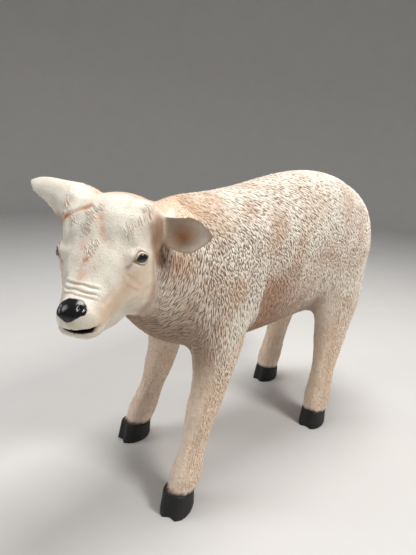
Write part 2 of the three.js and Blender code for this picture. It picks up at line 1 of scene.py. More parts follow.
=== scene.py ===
# %% [markdown]
# # A life-size lamb statue
#
# The real object is one hollow casting in resin, painted by hand.  The fleece is carved
# as short wavy ridges that stand one to two millimetres proud, with a brown wash rubbed
# into the hollows between them.  The face is nearly smooth and off-white, the nose and the
# eyes are gloss black, and the hooves are matt black.
#
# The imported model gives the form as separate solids.  Here one continuous skin is drawn
# over the solids of flesh, its face is sculpted, the ridges are laid on it as solid
# meshes, and everything is painted.

# %% Load the frame
import math

import bmesh
import bpy
import numpy as np
from mathutils import Matrix, Vector


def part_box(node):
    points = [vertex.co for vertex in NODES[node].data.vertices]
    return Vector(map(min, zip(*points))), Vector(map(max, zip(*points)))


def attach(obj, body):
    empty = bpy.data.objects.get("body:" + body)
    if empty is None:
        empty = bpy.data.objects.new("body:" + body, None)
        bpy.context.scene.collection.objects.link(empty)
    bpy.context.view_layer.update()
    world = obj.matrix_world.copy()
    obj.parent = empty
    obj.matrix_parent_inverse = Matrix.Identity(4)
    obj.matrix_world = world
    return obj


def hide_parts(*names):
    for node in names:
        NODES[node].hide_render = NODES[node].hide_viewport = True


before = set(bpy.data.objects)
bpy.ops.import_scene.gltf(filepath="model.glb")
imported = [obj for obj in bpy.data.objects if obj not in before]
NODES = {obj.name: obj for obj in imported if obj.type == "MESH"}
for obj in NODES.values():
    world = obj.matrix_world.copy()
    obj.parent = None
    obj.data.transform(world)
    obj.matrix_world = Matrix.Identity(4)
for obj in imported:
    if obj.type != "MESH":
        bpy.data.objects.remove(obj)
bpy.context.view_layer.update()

HOOVES = sorted(name for name in NODES if name.startswith("hoof"))
EYES = {1: "eye_left", -1: "eye_right"}
FLESH = sorted(name for name in NODES if name not in HOOVES and name not in EYES.values())
print(len(FLESH), "solids of flesh,", len(HOOVES), "hooves,", len(EYES), "eyes")

# %% [markdown]
# ## Whole meshes as arrays
#
# Every shape below is worked out on whole arrays of points.  These few helpers carry
# points and faces between numpy and Blender's meshes.

# %% Reading and writing meshes
MM = 0.001


def points_of(mesh):
    """The mesh's vertices as an array with one row for each."""
    flat = np.empty(len(mesh.vertices) * 3, np.float32)
    mesh.vertices.foreach_get("co", flat)
    return flat.reshape(-1, 3).astype(float)


def normals_of(mesh):
    """The mesh's outward directions at its vertices."""
    flat = np.empty(len(mesh.vertices) * 3, np.float32)
    mesh.vertex_normals.foreach_get("vector", flat)
    return flat.reshape(-1, 3).astype(float)


def edges_of(mesh):
    """Pairs of vertex numbers, one row for each edge."""
    flat = np.empty(len(mesh.edges) * 2, np.int32)
    mesh.edges.foreach_get("vertices", flat)
    return flat.reshape(-1, 2)


def triangles_of(mesh):
    """Triples of vertex numbers, with every face split into triangles."""
    mesh.calc_loop_triangles()
    flat = np.empty(len(mesh.loop_triangles) * 3, np.int32)
    mesh.loop_triangles.foreach_get("vertices", flat)
    return flat.reshape(-1, 3)


def set_points(mesh, points):
    """Moves the mesh's vertices to the rows of the array."""
    mesh.vertices.foreach_set("co", points.astype(np.float32).ravel())
    mesh.update()


def piece(name, points, faces):
    """A smooth-shaded object whose faces all have the same number of corners."""
    corners = faces.shape[1]
    mesh = bpy.data.meshes.new(name)
    mesh.vertices.add(len(points))
    mesh.vertices.foreach_set("co", points.astype(np.float32).ravel())
    mesh.loops.add(faces.size)
    mesh.loops.foreach_set("vertex_index", faces.astype(np.int32).ravel())
    mesh.polygons.add(len(faces))
    mesh.polygons.foreach_set("loop_start", np.arange(0, faces.size, corners, dtype=np.int32))
    mesh.update(calc_edges=True)
    mesh.shade_smooth()
    made = bpy.data.objects.new(name, mesh)
    bpy.context.scene.collection.objects.link(made)
    return made


def colour_attribute(mesh, name, values):
    """Stores one colour for each vertex."""
    layer = mesh.attributes.new(name, "FLOAT_COLOR", "POINT")
    rgba = np.ones((len(values), 4), np.float32)
    rgba[:, : values.shape[1]] = values
    layer.data.foreach_set("color", rgba.ravel())


def unit(vectors):
    """Each row scaled to a length of one."""
    return vectors / np.maximum(np.linalg.norm(vectors, axis=-1, keepdims=True), 1e-12)


def ramp(values, low, high):
    """Zero below low, one above high, and a smooth S between them."""
    share = np.clip((values - low) / (high - low), 0, 1)
    return share * share * (3 - 2 * share)


def hump(values, width):
    """A bell of height one at zero that is down to about a third at width."""
    return np.exp(-((values / width) ** 2))


print("the trunk's solid has", len(points_of(NODES["trunk"].data)), "corners")


# %% [markdown]
# ## The lamb's own directions
#
# The head is turned and tipped, so its features are placed in a frame of its own, which
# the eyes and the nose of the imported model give: left, ahead and up, from the middle of
# the two eyes.

# %% The head's frame
def middle(name):
    """The middle of a solid's box."""
    low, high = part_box(name)
    return np.array((low + high) / 2)


EYE_CENTRES = {side: middle(name) for side, name in EYES.items()}
EYE_RADIUS = float((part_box("eye_left")[1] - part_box("eye_left")[0]).length) / math.sqrt(12)
HEAD_ORIGIN = (EYE_CENTRES[1] + EYE_CENTRES[-1]) / 2
HEAD_LEFT = unit(EYE_CENTRES[1] - EYE_CENTRES[-1])
to_nose = middle("nose") - HEAD_ORIGIN
HEAD_AHEAD = unit(to_nose - HEAD_LEFT * (to_nose @ HEAD_LEFT))
HEAD_UP = np.cross(HEAD_AHEAD, HEAD_LEFT)
HEAD_AXES = np.array([HEAD_LEFT, HEAD_AHEAD, HEAD_UP])
NOSE_AHEAD = float(to_nose @ HEAD_AHEAD)


def in_head(points):
    """Coordinates left, ahead and up of the middle of the eyes, in millimetres."""
    return (points - HEAD_ORIGIN) @ HEAD_AXES.T / MM


print("eyes", round(EYE_RADIUS / MM, 1), "mm in radius; nose", round(NOSE_AHEAD / MM), "mm ahead")

# %% [markdown]
# ## The camera, the floor and the light
#
# The lamb is seen from its front left, from a little above.  It stands on a plain pale
# floor that sweeps up into a wall far behind it, so no horizon crosses the view.  Wide
# soft lamps on both sides and above give it gentle shade with no hard edge.

# %% Camera
STAND = np.mean([middle(name) for name in HOOVES], axis=0) * [1, 1, 0]
CAMERA_PLACE = STAND + np.array([0.4805, -0.5365, 0.470])
CAMERA_TURN, CAMERA_TIP, CAMERA_ROLL = (math.radians(angle) for angle in (46, 15, 3))
LENS = 29.19                         # focal length in mm

lens = bpy.data.cameras.new("view")
lens.lens = LENS
camera = bpy.data.objects.new("view", lens)
turn = Matrix.Rotation(CAMERA_TURN, 4, "Z") @ Matrix.Rotation(math.pi / 2 - CAMERA_TIP, 4, "X")
camera.matrix_world = Matrix.Translation(CAMERA_PLACE) @ turn @ Matrix.Rotation(CAMERA_ROLL, 4, "Z")
bpy.context.scene.collection.objects.link(camera)
bpy.context.scene.camera = camera
print("camera", np.round(CAMERA_PLACE, 3))

# %% Floor and lamps
FLOOR_RADIUS, WALL_HEIGHT, STAGE_TURNS = 4.0, 3.0, 96


def lathe(radius, height, turns):
    """A profile turned about the upright axis, as points and four-cornered faces."""
    angle = np.linspace(0, 2 * np.pi, turns, endpoint=False)[:, None]
    points = np.stack([radius * np.cos(angle), radius * np.sin(angle), height + 0 * angle], -1)
    rows = len(radius)
    here = np.arange(turns)[:, None] * rows + np.arange(rows - 1)
    there = np.roll(here, -1, axis=0)
    faces = np.stack([here, here + 1, there + 1, there], -1).reshape(-1, 4)
    return points.reshape(-1, 3), faces


sweep = np.linspace(0, np.pi / 2, 16)
radius = np.concatenate([[1e-5, 1.0, 2.0], FLOOR_RADIUS - 1 + np.sin(sweep), [FLOOR_RADIUS]])
height = np.concatenate([[0, 0, 0], 1 - np.cos(sweep), [WALL_HEIGHT]])
BELOW_SOLES = 0.4 * MM
stage = piece("floor", *lathe(radius, height - BELOW_SOLES, STAGE_TURNS))
print("floor of", len(stage.data.polygons), "faces")


def lamp(name, place, aim, size, power, colour):
    """A square soft lamp at "place", turned towards "aim"."""
    light = bpy.data.lights.new(name, "AREA")
    light.size, light.energy, light.color = size, power, colour
    thing = bpy.data.objects.new(name, light)
    thing.matrix_world = Matrix.Translation(place) @ (
        (Vector(aim) - Vector(place)).to_track_quat("-Z", "Y").to_matrix().to_4x4())
    bpy.context.scene.collection.objects.link(thing)


# %% Three lamps and a faint sky
lamp("window", (-1.0, -1.4, 1.3), (0, -0.1, 0.3), 1.0, 12, (0.96, 0.98, 1.0))
lamp("side", (1.3, 0.3, 1.7), (0, 0.05, 0.3), 0.45, 23, (1.0, 0.98, 0.95))
lamp("ceiling", (-0.1, 0.4, 2.0), (0, 0, 0.2), 0.8, 29, (1.0, 0.99, 0.98))
sky = bpy.data.worlds.new("studio")
sky.use_nodes = True
glow = sky.node_tree.nodes["Background"].inputs
glow["Color"].default_value = (0.95, 0.96, 1.0, 1)
glow["Strength"].default_value = 0.17
bpy.context.scene.world = sky
bpy.context.scene.view_settings.view_transform = "Standard"
print(len(bpy.data.lights), "lamps")

# %% [markdown]
# ## One skin over the solids of flesh
#
# A casting has no seams, so copies of the solids are joined and wrapped in one closed
# surface by a voxel remesh.  Its flat facets are then relaxed: each point moves towards
# the mean of its neighbours, for more rounds on the broad body than on the ears.
# The eyeballs and hooves are wrapped too, so that the skin runs on behind the real ones.
# A boolean union could join the solids as well, but it would keep every facet and leave
# the thin gaps between the solids open.

# %% Wrapping the solids
VOXEL = 1.6 * MM


def joined_copy(names):
    """One object from merged copies of the named solids."""
    cloth = bmesh.new()
    for name in names:
        cloth.from_mesh(NODES[name].data)
    bmesh.ops.remove_doubles(cloth, verts=cloth.verts, dist=0.01 * MM)
    mesh = bpy.data.meshes.new("wrap")
    cloth.to_mesh(mesh)
    cloth.free()
    made = bpy.data.objects.new("wrap", mesh)
    bpy.context.scene.collection.objects.link(made)
    return made


def with_modifier(thing, kind, **settings):
    """Adds one modifier, and puts its result in the object's place."""
    modifier = thing.modifiers.new(kind, kind)
    for key, value in settings.items():
        setattr(modifier, key, value)
    graph = bpy.context.evaluated_depsgraph_get()
    result = bpy.data.meshes.new_from_object(thing.evaluated_get(graph))
    thing.modifiers.clear()
    old, thing.data = thing.data, result
    bpy.data.meshes.remove(old)
    return thing


skin = joined_copy(sorted(NODES))
skin.name = "skin"
with_modifier(skin, "REMESH", mode="VOXEL", voxel_size=VOXEL, use_smooth_shade=True)
print("wrapped in", len(skin.data.polygons), "faces")


# %% Relaxing the facets
def neighbour_mean(values, edges, degree):
    """The mean over each vertex's neighbours, summed over the edges."""
    first, second = edges.T
    total = np.empty_like(values)
    for axis in range(values.shape[1]):
        column = values[:, axis]
        total[:, axis] = np.bincount(first, column[second], len(values))
        total[:, axis] += np.bincount(second, column[first], len(values))
    return total / degree[:, None]


def relax(mesh, reach, spacing):
    """Blurs the surface over "reach" metres at each vertex of a mesh with even edges.

    One round moves a point 0.8 of the way to its neighbours' mean, which blurs over
    about 0.6 of an edge, and blurs add up as squares, so the rounds that a vertex takes
    are 2.5 times the square of reach over edge length."""
    points = points_of(mesh)
    edges = edges_of(mesh)
    degree = np.bincount(edges.ravel(), minlength=len(points)).astype(float)
    rounds = 2.5 * (reach / spacing) ** 2
    for turn in range(int(rounds.max())):
        share = 0.8 * np.clip(rounds - turn, 0, 1)[:, None]
        points += share * (neighbour_mean(points, edges, degree) - points)
    set_points(mesh, points)


def near_eyes(points, reach):
    """True within that many metres of the middle of either eye."""
    gaps = [np.linalg.norm(points - centre, axis=1) for centre in EYE_CENTRES.values()]
    return np.minimum(*gaps) < reach


BODY_BLUR, SHANK_BLUR, HEAD_BLUR, EAR_BLUR, EYE_BLUR = 8.5, 4.5, 3.4, 2.3, 2.2    # mm

where = points_of(skin.data)
left, ahead, up = in_head(where).T
on_head = ramp(ahead, -75, -45) * ramp(up, -115, -85) * ramp(-where[:, 1], 0.13, 0.17)
on_ear = on_head * ramp(np.abs(left), 58, 68)
on_shank = 1 - ramp(where[:, 2], 0.10, 0.19)
reach = BODY_BLUR - (BODY_BLUR - SHANK_BLUR) * on_shank
reach += (HEAD_BLUR - reach) * on_head
reach += (EAR_BLUR - reach) * on_ear
reach[near_eyes(where, 17 * MM)] = EYE_BLUR
relax(skin.data, reach * MM, VOXEL)
print("relaxed", len(where), "points")


# %% Fewer faces on the body, finer ones where the face is carved
def thinned(thing, chosen, ratio):
    """Collapses edges of the chosen vertices until that share of the faces is left."""
    group = thing.vertex_groups.new(name="thin")
    group.add(np.flatnonzero(chosen).tolist(), 1.0, "REPLACE")
    with_modifier(thing, "DECIMATE", ratio=ratio, vertex_group="thin")
    thing.vertex_groups.clear()


def finer(mesh, chosen):
    """Splits in two every edge whose ends are both chosen."""
    cloth = bmesh.new()
    cloth.from_mesh(mesh)
    edges = [e for e in cloth.edges if chosen[e.verts[0].index] and chosen[e.verts[1].index]]
    bmesh.ops.subdivide_edges(cloth, edges=edges, cuts=1, use_grid_fill=True)
    bmesh.ops.triangulate(cloth, faces=cloth.faces)
    cloth.to_mesh(mesh)
    cloth.free()


def near_muzzle(points):
    """True on the nose, the lips and the front of the muzzle."""
    left, ahead, up = in_head(points).T
    return (ahead > 48) & (np.abs(left) < 27) & (up < 30)


FACES_LEFT = 0.20                    # share of the faces kept on the body and the ears
EYE_ZONE, LID_ZONE = 18 * MM, 14.5 * MM

thinned(skin, (on_head < 0.5) | (on_ear > 0.5), FACES_LEFT)
print("thinned to", len(skin.data.polygons), "faces")
where = points_of(skin.data)
finer(skin.data, near_muzzle(where) | near_eyes(where, EYE_ZONE))
finer(skin.data, near_eyes(points_of(skin.data), LID_ZONE))
print("face refined to", len(skin.data.polygons), "faces")

# %% [markdown]
# ## Chance that flows
#
# Carved and painted surfaces are never quite even.  Wherever a line wavers or a colour
# drifts, the same smooth random field is used, which is a sum of sine waves.

# %% Soft random fields
def wander(points, size, seed):
    """A smooth random field between about -1 and 1 whose hills are "size" mm apart.

    It adds eight sine waves that run in random directions."""
    chance = np.random.default_rng(seed)
    ways = unit(chance.normal(size=(8, 3))) * chance.uniform(0.7, 1.4, (8, 1))
    phases = chance.uniform(0, 2 * np.pi, 8)
    waves = np.sin(points @ ways.T * (2 * np.pi / (size * MM)) + phases)
    return waves.sum(axis=1) / 2.6


print("field at the eyes", np.round(wander(np.array([*EYE_CENTRES.values()]), 30, 1), 2))

# %% [markdown]
# ## Hooves
#
# The coronet, where a hoof meets the leg, is a sloping plane.  It is read from the top
# faces of each packed hoof, so that the leg's skin can be drawn in behind the hoof, and
# so that the paint can change colour there.  The hooves themselves are wrapped and
# relaxed like the body, which rounds their facets, and their soles are pressed flat.

# %% Coronets and rounded hooves
def top_plane(mesh):
    """The plane height = a x + b y + c through the flat top of a hoof, as (a, b, c)."""
    top = [face for face in mesh.polygons if face.normal.z > 0.9 and face.center.z > 15 * MM]
    corners = np.array([mesh.vertices[i].co for face in top for i in face.vertices])
    table = np.c_[corners[:, :2], np.ones(len(corners))]
    return np.linalg.lstsq(table, corners[:, 2], rcond=None)[0]


CORONETS = {name: top_plane(NODES[name].data) for name in HOOVES}


def above_coronet(points):
    """Height above the coronet of the nearest hoof, in millimetres."""
    gaps = np.stack([np.hypot(*(points - middle(name))[:, :2].T) for name in HOOVES])
    planes = np.array([CORONETS[name] for name in HOOVES])[gaps.argmin(axis=0)]
    return (points[:, 2] - np.sum(planes * np.c_[points[:, :2], np.ones(len(points))], 1)) / MM


HOOF_VOXEL, HOOF_BLUR, SOLE_SKIN = 1.3 * MM, 1.6 * MM, 0.9 * MM
hooves = []
for name in HOOVES:
    hoof = joined_copy([name])
    hoof.name = "painted_" + name
    with_modifier(hoof, "REMESH", mode="VOXEL", voxel_size=HOOF_VOXEL, use_smooth_shade=True)
    sole = points_of(hoof.data)[:, 2] < SOLE_SKIN
    relax(hoof.data, np.full(len(sole), HOOF_BLUR), HOOF_VOXEL)
    pressed = points_of(hoof.data)
    pressed[sole, 2] = 0
    set_points(hoof.data, np.maximum(pressed, [-1, -1, 0]))
    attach(hoof, "root")
    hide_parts(name)
    hooves.append(hoof)
print(len(hooves), "hooves of", len(hooves[0].data.polygons), "faces")

# %% [markdown]
# ## Eyes
#
# A lamb's eye is a ball that sits deep between two lids.  The ball stays a piece of its
# own, so that it can be glossy, and the lids are folds of the skin.  It is an arc turned
# about an upright axis, by the same helper as the floor.

# %% Eyeballs
BALL_TURNS, BALL_ROWS = 48, 33
rows = np.linspace(0, np.pi, BALL_ROWS)
balls = []
for side, name in EYES.items():
    shell, faces = lathe(EYE_RADIUS * np.sin(rows) + 1e-7, -EYE_RADIUS * np.cos(rows), BALL_TURNS)
    ball = piece("glossy_" + name, shell + EYE_CENTRES[side], faces)
    cloth = bmesh.new()
    cloth.from_mesh(ball.data)
    bmesh.ops.remove_doubles(cloth, verts=cloth.verts, dist=0.01 * MM)
    bmesh.ops.recalc_face_normals(cloth, faces=cloth.faces)
    cloth.to_mesh(ball.data)
    cloth.free()
    ball.data.shade_smooth()
    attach(ball, "root")
    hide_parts(name)
    balls.append(ball)
print(len(balls), "eyeballs")

# %% [markdown]
# ## The face
#
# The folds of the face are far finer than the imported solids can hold, so they are
# sculpted by moving points of the skin.  Each fold is a short formula in the head's own
# frame: how far a point lies from the fold's line says how far it sinks or rises.
# A bump in the paint alone would leave the outline of lids and lips unchanged, and a
# sculpt by hand would give no numbers to read and change.

# %% Lids
EYE_LONG, EYE_TALL = 38, 25          # half the opening between the lids, in degrees
LID_THICK = 2.0                      # how far the lids stand in front of the ball, in mm


def eye_axes(side):
    """Directions out of the eye, along its opening towards the nose, and across it."""
    out = unit(np.array([side * 0.66, 0.58, 0.48]) @ HEAD_AXES)
    along = unit(np.array([-side * 0.74, 0.67, 0.09]) @ HEAD_AXES)
    along = unit(along - out * (along @ out))
    return out, along, np.cross(along, out) * side


def lid_gap(points, side):
    """Distance outside the edge of the opening, and height across it, in millimetres.

    The opening is an almond: its half-height is greatest in the middle, and falls off a
    little more steeply than the square of the angle along it."""
    out, along, across = eye_axes(side)
    rays = unit(points - EYE_CENTRES[side])
    front = np.maximum(rays @ out, 0.05)
    long = np.degrees(np.arctan2(rays @ along, front)) / EYE_LONG
    tall = np.degrees(np.arctan2(rays @ across, front)) / EYE_TALL
    edge = np.where(rays @ out < 0.15, 3, np.abs(tall) + np.abs(long) ** 2.2 - 1)
    return edge * math.radians(EYE_TALL) * EYE_RADIUS / MM, tall


def with_lids(points):
    """Moves the skin round each eye to a lid that wraps the ball.

    Inside the opening the skin hides behind the ball.  At the edge it stands a lid's
    thickness in front of it.  Further out comes a crease, and past it a soft ridge, both
    deeper above the eye than below, and then the skin runs on as cheek and brow."""
    for side in EYES:
        spokes = points - EYE_CENTRES[side]
        distance = np.linalg.norm(spokes, axis=1) / MM
        gap, tall = lid_gap(points, side)
        ball = EYE_RADIUS / MM
        lid = ball + LID_THICK * ramp(gap, -0.6, 0.5) - 2.2 * (1 - ramp(gap, -0.9, 0.2))
        blend = ramp(gap, 2, 7)
        radius = lid + (np.maximum(distance, ball + 0.5) - lid) * blend
        radius -= 2.3 * hump(gap - 3.6, 0.9) * ramp(tall, -0.3, 0.2)
        radius -= 1.6 * hump(gap - 3.2, 0.9) * ramp(-tall, -0.1, 0.4)
        radius += 1.1 * hump(gap - 6.2, 1.6) * ramp(tall, -0.3, 0.2)
        radius += 0.7 * hump(gap - 5.4, 1.2) * ramp(-tall, -0.1, 0.4)
        near = (distance < 20) & (gap < 9)
        points[near] = EYE_CENTRES[side] + spokes[near] * (radius / distance)[near, None]
    return points


print("eyes open", 2 * EYE_LONG, "by", 2 * EYE_TALL, "degrees")


# %% Soft lines and spots
def line_gap(points, stops):
    """Distance to a line through the given stops, in the points' own units."""
    best = np.full(len(points), 1e9)
    for start, end in zip(stops[:-1], stops[1:]):
        start, way = np.array(start, float), np.subtract(end, start)
        share = np.clip((points - start) @ way / (way @ way), 0, 1)
        best = np.minimum(best, np.linalg.norm(points - start - share[:, None] * way, axis=1))
    return best


def spot(local, centre, size):
    """A bell of height one at the centre, as wide along each axis as size says."""
    gap = (local - np.array(centre)) / np.array(size)
    return np.exp(-np.sum(gap ** 2, axis=1))


def mirrored(local):
    """The same points folded onto the head's left side."""
    return local * np.where(local[:, :1] < 0, [-1, 1, 1], [1, 1, 1])


# %% [markdown]
# The lines of the face are written as a few stops each: left, ahead and up of the middle
# of the eyes, in millimetres.  Lines on the head's left side are mirrored to its right,
# apart from the streaks on the brow and nose and the crease of the right ear.

# %% Where the lines of the face run
MOUTH_TURN = [20, 30, 45, 60, 75]    # the lips' line: degrees round the muzzle, and height
MOUTH_UP = [-25.5, -28, -30, -32, -34]
CHEEK_CREASE = [(58, -28, 25), (59, -18, -6), (60, -4, -39), (54, 8, -64), (37, 14, -84)]
CHEEK_FOLD = [(40, 24, 3), (36, 38, -6), (31, 53, -9), (26, 66, -10)]
UNDER_EYE = [(42, 28, -3), (47, 25, -13), (50, 19, -27)]
UNDER_EYE_LOW = [(41, 35, -12), (44, 30, -21), (47, 24, -34)]
CHEEK_TAN = [(44, 24, -10), (38, 42, -16), (31, 60, -20), (28, 74, -19)]
NOSE_SIDE = [(26, 20, 16), (20, 45, 8), (18, 64, 2)]
BROW_STREAK = [(-1, -20, 43), (4, -12, 40), (12, 5, 30)]
NOSE_STREAK = [(-13, 12, 26), (-1, 28, 20), (-2, 52, 11)]
RIGHT_EAR_CREASE = [(-18, -32, 46), (-33, -27, 41), (-53, -26, 30)]
TEMPLE = [(63, -38, 22), (62, -29, 6), (62, -23, -22)]
TEAR_LINE = [(49, 9, 4), (44, 16, 5), (40, 24, 4)]
NOSTRIL = [(5.5, 4, -3.5), (9.5, 3, 0.5), (11.0, -2, 3.5)]           # from the nose's middle
WRINKLES = [(60, 0.9), (67, 0.9), (72.5, 0.6)]                       # place ahead, size
# Each line with its rise in mm, below zero where it is sunk, and its width.
PAIRED_FOLDS = [(CHEEK_FOLD, -1.3, 3.5), (UNDER_EYE, -0.8, 2.4), (UNDER_EYE_LOW, -0.6, 2.4),
                (NOSE_SIDE, 1.2, 7)]
LONE_FOLDS = [(BROW_STREAK, -1.6, 9), (RIGHT_EAR_CREASE, -1.8, 3)]
print(len(PAIRED_FOLDS) + len(LONE_FOLDS), "folds and", len(WRINKLES), "wrinkles")


# %% Mouth and nose
def mouth_line(local):
    """One on the line that runs back from each corner of the open lips.

    Its height depends on the angle round the muzzle, seen from above."""
    left, ahead, up = local.T
    turn = np.degrees(np.arctan2(np.abs(left), ahead - 50))
    height = up - np.interp(turn, MOUTH_TURN, MOUTH_UP)
    line = hump(height, 1.5) * ramp(turn, 14, 22) * (1 - ramp(turn, 60, 78))
    return line * ramp(ahead, 50, 60)


def mouth_inside(local):
    """One inside the opening between the lips, behind their rims."""
    left, ahead, up = local.T
    depth = 98 - 0.015 * left ** 2 - ahead
    slot = ramp(up, -31, -29.5) * (1 - ramp(up, -18.5, -17)) * ramp(depth, -0.5, 1)
    return slot * (1 - ramp(np.abs(left - 2), 15, 20)) * ramp(ahead, 74, 80)


def nose_place(local):
    """Coordinates from the middle of the nose pad."""
    return local - in_head(middle("nose")[None])[0]


print("nose pad", np.round(-nose_place(np.zeros(3)), 1), "mm from the eyes")


# %% The relief of the face
def face_relief(local):
    """How far the skin of the face rises, in millimetres, as a sum of humps.

    In order: the edge of the cheek, mouth and chin, nostrils, tear lines, the groove
    under the nose, folds, brows, temples, a slight unevenness, and wrinkles."""
    left, ahead, up = local.T
    folded = mirrored(local)
    rise = -2.2 * hump(line_gap(folded, CHEEK_CREASE), 6) * (1 - ramp(up, 22, 34))
    rise -= 1.1 * mouth_line(local) + 2.2 * spot(local, (11, 95, -28), (9, 6, 3))
    rise -= 1.5 * hump(line_gap(nose_place(folded), NOSTRIL), 2.2)
    rise -= 0.9 * hump(line_gap(folded, TEAR_LINE), 1.3)
    across, _, above = nose_place(local).T
    rise -= 0.9 * hump(across, 1.0) * ramp(-above, 0, 5) * ramp(ahead, 80, 88)
    for places, folds in ((folded, PAIRED_FOLDS), (local, LONE_FOLDS)):
        for stops, amount, width in folds:
            rise += amount * hump(line_gap(places, stops), width)
    rise += 2.4 * spot(folded, (42, -6, 24), (15, 15, 12))
    rise += 1.5 * spot(folded, (43, 11, 12), (7, 9, 6))
    rise += 1.5 * spot(local, (-44, 10, 12), (7, 9, 6))
    rise -= 1.2 * hump(line_gap(folded, TEMPLE), 7)
    slight = 0.35 * wander(local * MM, 15, 13)
    rise += slight * ramp(np.abs(left), 10, 30) * (1 - ramp(ahead, 50, 70))
    uneven = 0.8 * wander(local * MM, 18, 12) - 0.13 * left
    for place, size in WRINKLES:
        fold = ahead - place + 0.012 * left ** 2 + uneven
        top = ramp(up, -12, -3) * (1 - ramp(np.abs(left), 15, 24))
        rise += size * (0.7 * hump(fold + 3, 1.9) - hump(fold, 1.2)) * top
    return rise


# %% [markdown]
# ## Where the fleece grows, and how it lies
#
# The ridges have their full size on the sides.  They are small along the spine, on the
# breast and on the legs, and smaller still, as curls, on the forehead.  The rest of the
# face, the top of the neck and the inner and front sides of the legs are almost smooth.
# The ridges follow the coat: slanting down and back on the upper side, in no clear order
# on the flank, upright on the belly's side and in longer wavy lines on the neck.  Size
# and lie are functions of a point's place, shared by the skin and the ridges.

# %% Face and fleece
BACK_BAND = (9, 17)                  # mm aside where ridges are smallest, and full again
SPINE_LEFT = float((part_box("trunk")[0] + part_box("trunk")[1]).x) / 2


def face_edge(local):
    """How far ahead of the edge of the fleece a place on the head lies, in millimetres.

    The edge runs down and forwards behind the cheek, and turns back over the poll."""
    ahead, up = local.T[1:]
    return ahead + 21 + 0.36 * up + 2.2 * np.maximum(up - 25, 0)


def ear_share(local):
    """One on the ears, zero elsewhere."""
    left, ahead, up = local.T
    return ramp(np.abs(left), 54, 62) * ramp(up, -14, -6) * ramp(ahead, -100, -92)


def face_share(points):
    """One on the face and the ears, zero on the fleece and the body."""
    local = in_head(points)
    head = ramp(-points[:, 1], 0.165, 0.18) * ramp(local[:, 2], -118, -108)
    return head * np.maximum(ramp(face_edge(local), -1, 3), ear_share(local))


def curly_face(local):
    """The share of fine curls: down the middle of the forehead, on the brows, by the ears."""
    left, ahead, up = local.T
    middle_band = hump(left + 5, 20) * ramp(up, -4, 10)
    middle_band *= ramp(ahead, -44, -30) * (1 - ramp(ahead, 40, 56))
    patchy = np.clip(0.6 + 0.7 * wander(local * MM, 30, 15), 0, 1.1)
    folded = mirrored(local)
    brow = spot(folded, (38, -14, 33), (15, 15, 13))
    tuft = 1.4 * spot(folded, (55, -44, 34), (11, 14, 12))
    return np.clip(np.maximum(middle_band, brow) * patchy + tuft, 0, 1.3)


def fleece_cover(points, normals):
    """The size of the ridges: one on the flank, less on the spine, the breast, the legs
    and the forehead, and zero where the casting is smooth."""
    aside, back, tall = (points / MM).T
    ragged = wander(points, 30, 3)
    local = in_head(points)
    behind_cheek = face_edge(local) + 5 * ramp(local[:, 2], -60, -10)
    on_head = ramp(-back, 150, 170) * ramp(local[:, 2], -118, -108)
    cover = 1 - ramp(behind_cheek, -14, 4) * on_head
    spine = np.abs(aside - SPINE_LEFT / MM) + 3 * ragged
    smooth = (1 - ramp(spine, *BACK_BAND)) * ramp(normals[:, 2], 0.4, 0.7) * ramp(back, -190, -170)
    neck_top = ramp(normals[:, 2], 0.3, 0.75) * (1 - ramp(back, -165, -120))
    cover *= (1 - 0.7 * smooth) * (1 - neck_top)
    front = ramp(-normals[:, 1] - 0.3 * np.abs(normals[:, 0]), 0.2, 0.8) * ramp(-back, 130, 165)
    cover *= 1 - 0.55 * front * (1 - ramp(tall, 300, 340))
    facing = ramp(-normals[:, 1], -0.1, 0.6)
    inward = 1 - ramp(normals[:, 0] * np.sign(aside), -0.6, 0.0)
    plain = np.maximum(facing, inward)
    for legs, outside, front in ((ramp(-back, 20, 60), (115, 175), (175, 250)),
                                 (ramp(back, 50, 110), (110, 170), (220, 320))):
        low = 1 - ramp(tall + 12 * ragged, *outside)
        high = 1 - ramp(tall + 12 * ragged, *front)
        cover *= 1 - legs * np.maximum(0.42 * low, 0.86 * plain * high)
    off_ears = 1 - ear_share(local)
    cover = np.maximum(cover, 0.20 * curly_face(local) * off_ears * face_share(points))
    return cover * off_ears * ramp(above_coronet(points), 6, 14)


print("spine", round(SPINE_LEFT / MM, 1), "mm left of the middle of the floor")


# %% The lie of the coat
def along_back(points, normals):
    """Directions on the surface towards the tail, and down the side away from the spine.

    Towards the tail is the backward axis laid on the surface, with a little downward
    axis added so that it is never lost on the rump."""
    aim = np.array([0, 1, -0.22])
    back = unit(aim - normals * (normals @ aim)[:, None])
    side = np.where(points[:, :1] > SPINE_LEFT, 1.0, -1.0)
    return back, np.cross(back, normals) * side


def lie_of_coat(points, normals):
    """The direction of the ridges, as unit rows.

    Each zone has an angle from "towards the tail" to "down".  A ridge has no head or
    tail, so the angles are doubled before they are blended, and halved after."""
    back, down = along_back(points, normals)
    behind, tall = (points / MM).T[1:]
    upper = 1.3 * ramp(tall, 335, 385)
    lower = 1 - ramp(tall, 265, 310)
    rump = ramp(behind, 190, 265)
    shoulder = hump(behind + 105, 60) * (1 - ramp(tall, 330, 380))
    neck = ramp(-behind, 135, 175)
    sweep = 92 + 30 * (1 - ramp(tall, 265, 340))
    # Each zone: its weight, the angle in degrees, and how far the angle wanders.
    zones = [(upper, 40, 7), (lower, 88, 6), (0.3, 70, 30), (1.6 * rump, 110, 18),
             (1.4 * shoulder, 80, 9), (3.0 * neck, sweep, 6)]
    turn = np.zeros(len(points), complex)
    for seed, (weight, angle, spread) in enumerate(zones):
        bend = angle + spread * wander(points, 34, 20 + seed)
        turn += weight * np.exp(2j * np.radians(bend))
    lie = np.angle(turn)[:, None] / 2
    return unit(np.cos(lie) * back + np.sin(lie) * down)


